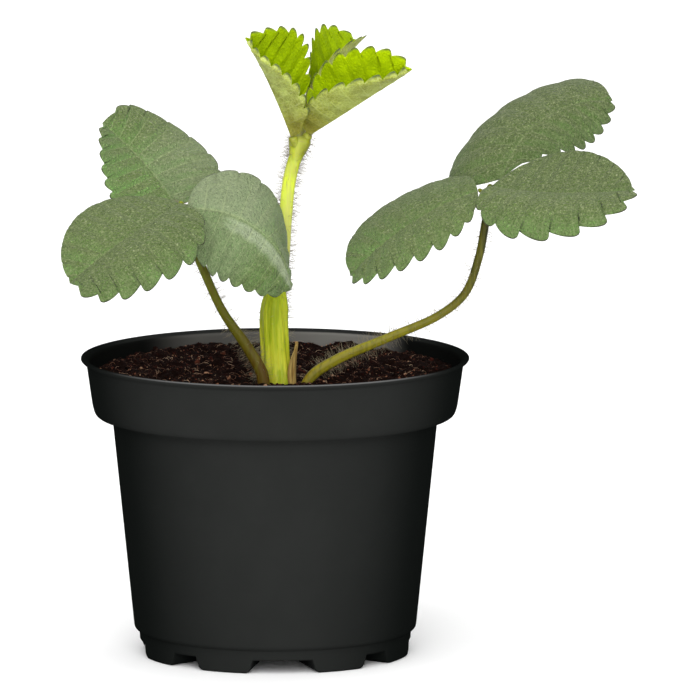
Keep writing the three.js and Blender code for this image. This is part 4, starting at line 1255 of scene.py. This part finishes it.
def bend(leaf, frames, side, x, y, lift):
    """Bends points of the flat leaflet into their place: x along the midrib, y out from it, lift above"""
    distance, *parts = frames
    place, forward, left, up = (
        np.stack([np.interp(x, distance, part[:, axis]) for axis in range(3)], axis=-1) for part in parts
    )
    opening = leaf["open"][side] * np.clip(x / leaf["length"], 0, OVERRUN)
    fold = np.radians(leaf["fold"][side] + opening)
    bend_rate = math.radians(leaf["curl"][side]) / leaf["width"][side]
    slope = fold + bend_rate * y
    out = (np.sin(slope) - np.sin(fold)) / bend_rate - lift * np.sin(slope)
    height = (np.cos(fold) - np.cos(slope)) / bend_rate + lift * np.cos(slope)
    sign = 1 if side == LEFT else -1
    behind_base = np.minimum(x, 0)
    return (
        place + forward * behind_base[..., None] + left * (sign * out)[..., None] + up * height[..., None]
    )


def smooth_edge(leaf, side, t, inset):
    """Edge of the flat leaflet without its teeth, from 0 at the base to 1 at the tip"""
    along = (1 - np.cos(np.pi * t)) / 2
    fullness = np.where(t < 0.5, leaf["full"][side], leaf["blunt"][side])
    swell = np.sin(np.pi * np.clip(t, 0, 1)) ** fullness
    x = (leaf["length"] - 0.6 * inset) * along ** leaf["broad"] - leaf["lobe"][side] * swell * (1 - along)
    return x, (leaf["width"][side] - inset) * swell


def margin(leaf, side, vein, depth, inset):
    """Margin of the flat leaflet. Whole values of `vein` are tooth tips, half values the notches between.

    Beside the place it gives how far a tooth reaches there, and its direction.
    """
    tooth = np.minimum(np.floor(vein + 0.5), TEETH + 1)
    phase = vein - (tooth - 0.5)
    forward = phase + 0.6 * phase * (1 - phase)
    t = PLAIN_BASE + (1 - PLAIN_TIP - PLAIN_BASE) * (tooth - 1 + forward) / TEETH
    x, y = smooth_edge(leaf, side, t, inset)
    ahead_x, ahead_y = smooth_edge(leaf, side, t + 0.01, inset)
    behind_x, behind_y = smooth_edge(leaf, side, t - 0.01, inset)
    size = np.hypot(ahead_x - behind_x, ahead_y - behind_y)
    out_x, out_y = -(ahead_y - behind_y) / size, (ahead_x - behind_x) / size
    reach = depth * (1 - np.abs(2 * phase - 1) ** 2)
    lean_x, lean_y = out_x + TOOTH_LEAN * out_y, out_y - TOOTH_LEAN * out_x
    base_x, base_y = smooth_edge(leaf, side, PLAIN_BASE * 2 * vein, inset)
    tip_x, tip_y = smooth_edge(leaf, side, 1 - PLAIN_TIP * (1 - 2 * phase), inset)
    tip_x = tip_x + 2 * phase * 0.6 * inset
    is_base, is_tip = vein <= 0.5, tooth > TEETH
    x = np.where(is_base, base_x, np.where(is_tip, tip_x, x + reach * lean_x))
    y = np.where(is_base, base_y, np.where(is_tip, tip_y, y + reach * lean_y))
    return x, y, np.where(is_base | is_tip, 0, reach), out_x, out_y


def blade_grid():
    """Place along the margin, in teeth, and share of the way out from the midrib, for a half's points"""
    veins = np.concatenate([
        np.linspace(0.04, 0.46, 8), 0.5 + np.arange(TEETH * 16) / 16, TEETH + np.linspace(0.5, 0.97, 8),
    ])
    shares = np.concatenate([np.linspace(0, 0.1, 4), np.linspace(0.1, 0.94, 19)[1:], [0.97, 1.0]])
    return np.meshgrid(veins, shares, indexing="ij")


def half_leaflet(leaf, frames, age, side, number):
    """Grids of one half of a leaflet, from the midrib out: its two faces, and what its finish reads"""
    vein, share = blade_grid()
    length = leaf["length"]
    foot = length * (1 - (1 - vein / (TEETH + 1)) ** 1.12)
    depth = TOOTH_DEPTH[age] * leaf["toothing"][side]
    inset = lerp(TOOTH_DEPTH[age], depth, 0.6)
    if age == "mature":
        depth = depth * np.clip(0.1 + 0.3 * np.round(vein), 0.4, 1)
    edge_x, edge_y, reach, out_x, out_y = margin(leaf, side, vein, depth, inset)
    x = lerp(foot, edge_x, share)
    y = edge_y * share
    span = np.hypot(edge_x - foot, edge_y)
    rim_gap = (1 - share) * span

    down_vein = unit(np.stack([edge_x - foot, edge_y], axis=-1) + 1e-6)
    step = np.gradient(np.stack([x, y], axis=-1), vein[:, 0], axis=0)
    spacing = np.abs(step[..., 0] * down_vein[..., 1] - step[..., 1] * down_vein[..., 0])
    nearest = np.clip(np.round(vein), 1, TEETH)
    off_vein = np.abs(vein - nearest)
    vein_gap = off_vein * spacing
    crease = np.exp(-(((0.5 - off_vein) * spacing / 0.3) ** 2)) * smoothstep(share, 0.5, 0.95)
    crease = np.where((vein < 0.7) | (vein > TEETH + 0.3), 0, crease)
    pleat = PLEAT[age] * (0.5 - 0.5 * np.cos(2 * np.pi * vein))
    pleat = pleat * np.minimum(1, 2.2 * share) * (1 - 0.55 * share ** 2)

    into_tooth = np.maximum(reach - rim_gap, 0)
    into_tooth = np.where(
        into_tooth < SOFT_BEND, into_tooth ** 2 / (2 * SOFT_BEND), into_tooth - SOFT_BEND / 2,
    )
    nod = math.radians(leaf["nod"][side])
    pulled_in = into_tooth * (1 - math.cos(nod))
    bent_x = x - pulled_in * out_x
    bent_y = y - pulled_in * out_y
    middle = pleat - 0.12 * crease - into_tooth * math.sin(nod)
    half_thick = lerp(BLADE_AT_RIM, BLADE, smoothstep(rim_gap, 0, 1.2)) / 2
    fade = 1 - 0.6 * share
    pressed = 0.14 * np.exp(-((vein_gap / 0.3) ** 2)) * fade + 0.28 * np.exp(-((y / 0.5) ** 2))
    raised = VEIN_RIDGE[age] * np.exp(-((vein_gap / 0.25) ** 2)) * fade
    raised = raised + 0.55 * np.exp(-((y / 0.55) ** 2)) * (1 - 0.6 * x / length)

    # Painted sheen: a silver band beside the midrib, and a silver sheen over the half that fades out towards
    # the tip
    band = smoothstep(share, 0.02, 0.06) * smoothstep(share, 0.34, 0.2) * smoothstep(x / length, 0.15, 0.4)
    band = band * (0.85 + 0.15 * np.cos(60 * share))
    sheen = leaf["painted_silver_sheen"][side] * smoothstep(x / length, 0.8, 0.4)
    sign = 1 if side == LEFT else -1
    return dict(
        top=bend(leaf, frames, side, bent_x, bent_y, middle + half_thick - pressed),
        under=bend(leaf, frames, side, bent_x, bent_y, middle - half_thick - raised),
        vein_gap=vein_gap, midrib_gap=y, rim_gap=rim_gap, crease=crease,
        tooth_tip=smoothstep(1 - off_vein * 2, 0.1, 0.8),
        flat=np.stack([x, y * sign, np.full_like(x, PATTERN_STEP * number)], axis=-1),
        painted_silver_sheen=np.maximum(sheen, leaf["painted_silver_band"][side] * band),
        veined=leaf["veined"][side] * (1 - smoothstep(share, 0.2, 0.9)),
        bright_green=np.full_like(x, leaf["bright_green"][side]),
        shade=np.full_like(x, leaf["shade"][side]),
    )


def across(halves, key):
    """One grid of both halves, from the right margin over the midrib to the left margin"""
    left, right = halves[LEFT][key], halves[RIGHT][key]
    middle = (left[:, :1] + right[:, :1]) / 2
    return np.concatenate([right[:, :0:-1], middle, left[:, 1:]], axis=1)


def blade(leaf, frames, top, under):
    """Points and faces of a closed blade between its two faces, with a point of each face at either end"""
    rows, columns = top.shape[:2]
    count = rows * columns
    ends = [
        bend(leaf, frames, LEFT, np.array([x]), np.zeros(1), np.array([lift]))
        for lift in (BLADE / 2, -BLADE / 2) for x in (0.0, leaf["length"])
    ]
    points = np.vstack([top.reshape(-1, 3), under.reshape(-1, 3)] + ends)
    base_top, tip_top, base_under, tip_under = (2 * count + k for k in range(4))
    ends_below = {base_top: base_under, tip_top: tip_under}

    def below(k):
        return ends_below.get(k, k + count)

    faces = grid_faces(rows, columns)
    last = (rows - 1) * columns
    for j in range(columns - 1):
        faces.append((base_top, j, j + 1))
        faces.append((tip_top, last + j + 1, last + j))
    faces += [tuple(below(k) for k in face) for face in flipped(faces)]
    right_edge = [i * columns for i in range(rows)]
    left_edge = [i * columns + columns - 1 for i in range(rows)]
    rim = [base_top] + right_edge + [tip_top] + left_edge[::-1]
    for here, following in zip(rim, rim[1:] + rim[:1]):
        faces.append((here, below(here), below(following), following))
    return points, faces


def over_blade(grid, at_base, at_tip):
    """A value for each point of a blade, the same on its two faces, with those of its two ends added"""
    values = grid.reshape(grid.shape[0] * grid.shape[1], -1)
    ends = np.array([[at_base], [at_tip]] * 2) * np.ones((1, values.shape[1]))
    values = np.vstack([values, values, ends])
    return values[:, 0] if values.shape[1] == 1 else values


def build_leaflet(number, name, finish):
    leaf = COMMON_LEAFLET | LEAFLETS[name]
    age = "young" if name.startswith("young") else "mature"
    frames = midrib_frames(leaf)
    halves = {side: half_leaflet(leaf, frames, age, side, number) for side in (LEFT, RIGHT)}
    top, under = across(halves, "top"), across(halves, "under")
    points, faces = blade(leaf, frames, top, under)
    readings = {key: over_blade(across(halves, key), *ends) for key, ends in READINGS.items()}
    # Painted sheen: how far the upper face looks at the sky sets its olive-brown tone
    sky = upward_share(top).ravel()
    make_piece(
        name + "_blade", points, faces, finish, "young_leaf" if age == "young" else "leaf", name,
        underside=np.concatenate([0 * sky, 1 + 0 * sky, [0, 0, 1, 1]]),
        bronze=np.concatenate([sky, 0 * sky, np.zeros(4)]),
        **readings,
    )


def upward_share(surface):
    """How far each place of a leaf's upper face looks at the sky, from 0 to 1"""
    normal = np.cross(np.gradient(surface, axis=0), np.gradient(surface, axis=1))
    normal = normal / np.maximum(np.linalg.norm(normal, axis=-1, keepdims=True), 1e-9)
    return smoothstep(normal[..., 2], 0.35, 0.85)


# Stage

def build_floor():
    """Plain pale floor"""
    finish = Finish("pale_floor")
    speck = finish.noise(finish.place(), 60, detail=2)
    tone = finish.blend(speck, (0.86, 0.86, 0.86, 1), (0.9, 0.9, 0.9, 1))
    material = finish.surface(Base_Color=tone, Roughness=0.9, Specular_IOR_Level=0.1)
    corners = [(-1, -1, 0), (1, -1, 0), (1, 1, 0), (-1, 1, 0)]
    floor = make_piece("floor", FLOOR_REACH * np.array(corners), [(0, 1, 2, 3)], material, smooth=False)


def light_studio():
    """White surroundings, brighter towards the top, and soft lights from the front and the back"""
    world = bpy.data.worlds.new("soft_studio")
    world.use_nodes = True
    dome = world.node_tree.nodes
    place = dome.new("ShaderNodeTexCoord")
    height = dome.new("ShaderNodeSeparateXYZ")
    glow = dome.new("ShaderNodeMapRange")
    for key, number in {"From Min": -0.1, "From Max": 0.6, "To Min": 0.1, "To Max": 0.95}.items():
        glow.inputs[key].default_value = number
    world.node_tree.links.new(place.outputs["Generated"], height.inputs[0])
    world.node_tree.links.new(height.outputs["Z"], glow.inputs["Value"])
    world.node_tree.links.new(glow.outputs["Result"], dome["Background"].inputs["Strength"])
    dome["Background"].inputs["Color"].default_value = (1, 1, 1, 1)
    bpy.context.scene.world = world
    bpy.context.scene.view_settings.view_transform = "Standard"
    soft_light("key", (-0.4, -1.0, 1.4), 60, 1.2)
    soft_light("fill", (0.5, -1.2, 1.0), 80, 0.4)
    soft_light("front", (0.05, -1.5, 0.4), 40, 2.6)
    soft_light("back", (0.3, 1.0, 1.4), 60, 0.6)


def soft_light(name, place, width, strength):
    """Even light from the direction of `place`, as soft as a lamp that looks `width` degrees wide"""
    light = bpy.data.lights.new(name, "SUN")
    light.angle = math.radians(width)
    light.energy = strength
    holder = bpy.data.objects.new(name, light)
    holder.location = place
    holder.rotation_euler = (-Vector(place)).to_track_quat("-Z", "Y").to_euler()
    bpy.context.scene.collection.objects.link(holder)


def place_camera():
    camera = bpy.data.cameras.new("view")
    camera.lens = CAMERA_LENS
    camera.sensor_width = SENSOR_WIDTH
    camera.sensor_fit = "HORIZONTAL"
    camera.clip_end = 100
    holder = bpy.data.objects.new("view", camera)
    holder.location = CAMERA_PLACE
    aim = Vector(CAMERA_AIM) - Vector(CAMERA_PLACE)
    holder.rotation_euler = aim.to_track_quat("-Z", "Y").to_euler()
    bpy.context.scene.collection.objects.link(holder)
    bpy.context.scene.camera = holder


# Assembly

build_floor()
light_studio()
place_camera()
build_pot(pot_finish())

soil = build_soil(soil_finish())
crumbs = crumb_tree()
crumb_material = crumb_finish()
crumbs.make(
    "soil_crumbs_small", soil, crumb_material, "soil",
    Per_square_millimetre=0.9, Smallest=0.12, Largest=0.48,
)
crumbs.make(
    "soil_crumbs_large", soil, crumb_material, "soil",
    Per_square_millimetre=0.05, Smallest=0.5, Largest=1.3, Seed=12,
)
fibre_tree().make("soil_fibres", soil, fibre_finish(), "soil")
root_material = root_finish()
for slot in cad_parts["roots"].material_slots:
    slot.material = root_material

hairs = hair_tree()
hair_material = hair_finish()
crown = build_crown(stalk_finish("crown_green", CROWN_STOPS, CROWN_STRIPE))
hairs.make("crown_hairs", crown, hair_material, "crown", Per_square_millimetre=0.6, Seed=21)
for seed, (name, stalk) in enumerate(STALKS.items(), start=31):
    stem = build_stalk(name, stalk_finish(name + "_green", stalk["stops"], stalk["stripe"]))
    hairs.make(
        name + "_hairs", stem, hair_material, stalk["slot"],
        Per_square_millimetre=stalk["hairs"], Seed=seed,
    )
build_stipule(stipule_finish())

mature_leaf = leaf_finish(
    "mature_leaf", MATURE_TONES, 0.5, Specular_IOR_Level=0.14, Sheen_Weight=0.05, Sheen_Roughness=0.4,
)
young_leaf = leaf_finish(
    "young_leaf", YOUNG_TONES, 0.2, Specular_IOR_Level=0.04,
    Subsurface_Weight=0.3, Subsurface_Radius=(1.0, 1.0, 0.1), Subsurface_Scale=0.0015,
)
for number, name in enumerate(LEAFLETS):
    build_leaflet(number, name, young_leaf if name.startswith("young") else mature_leaf)
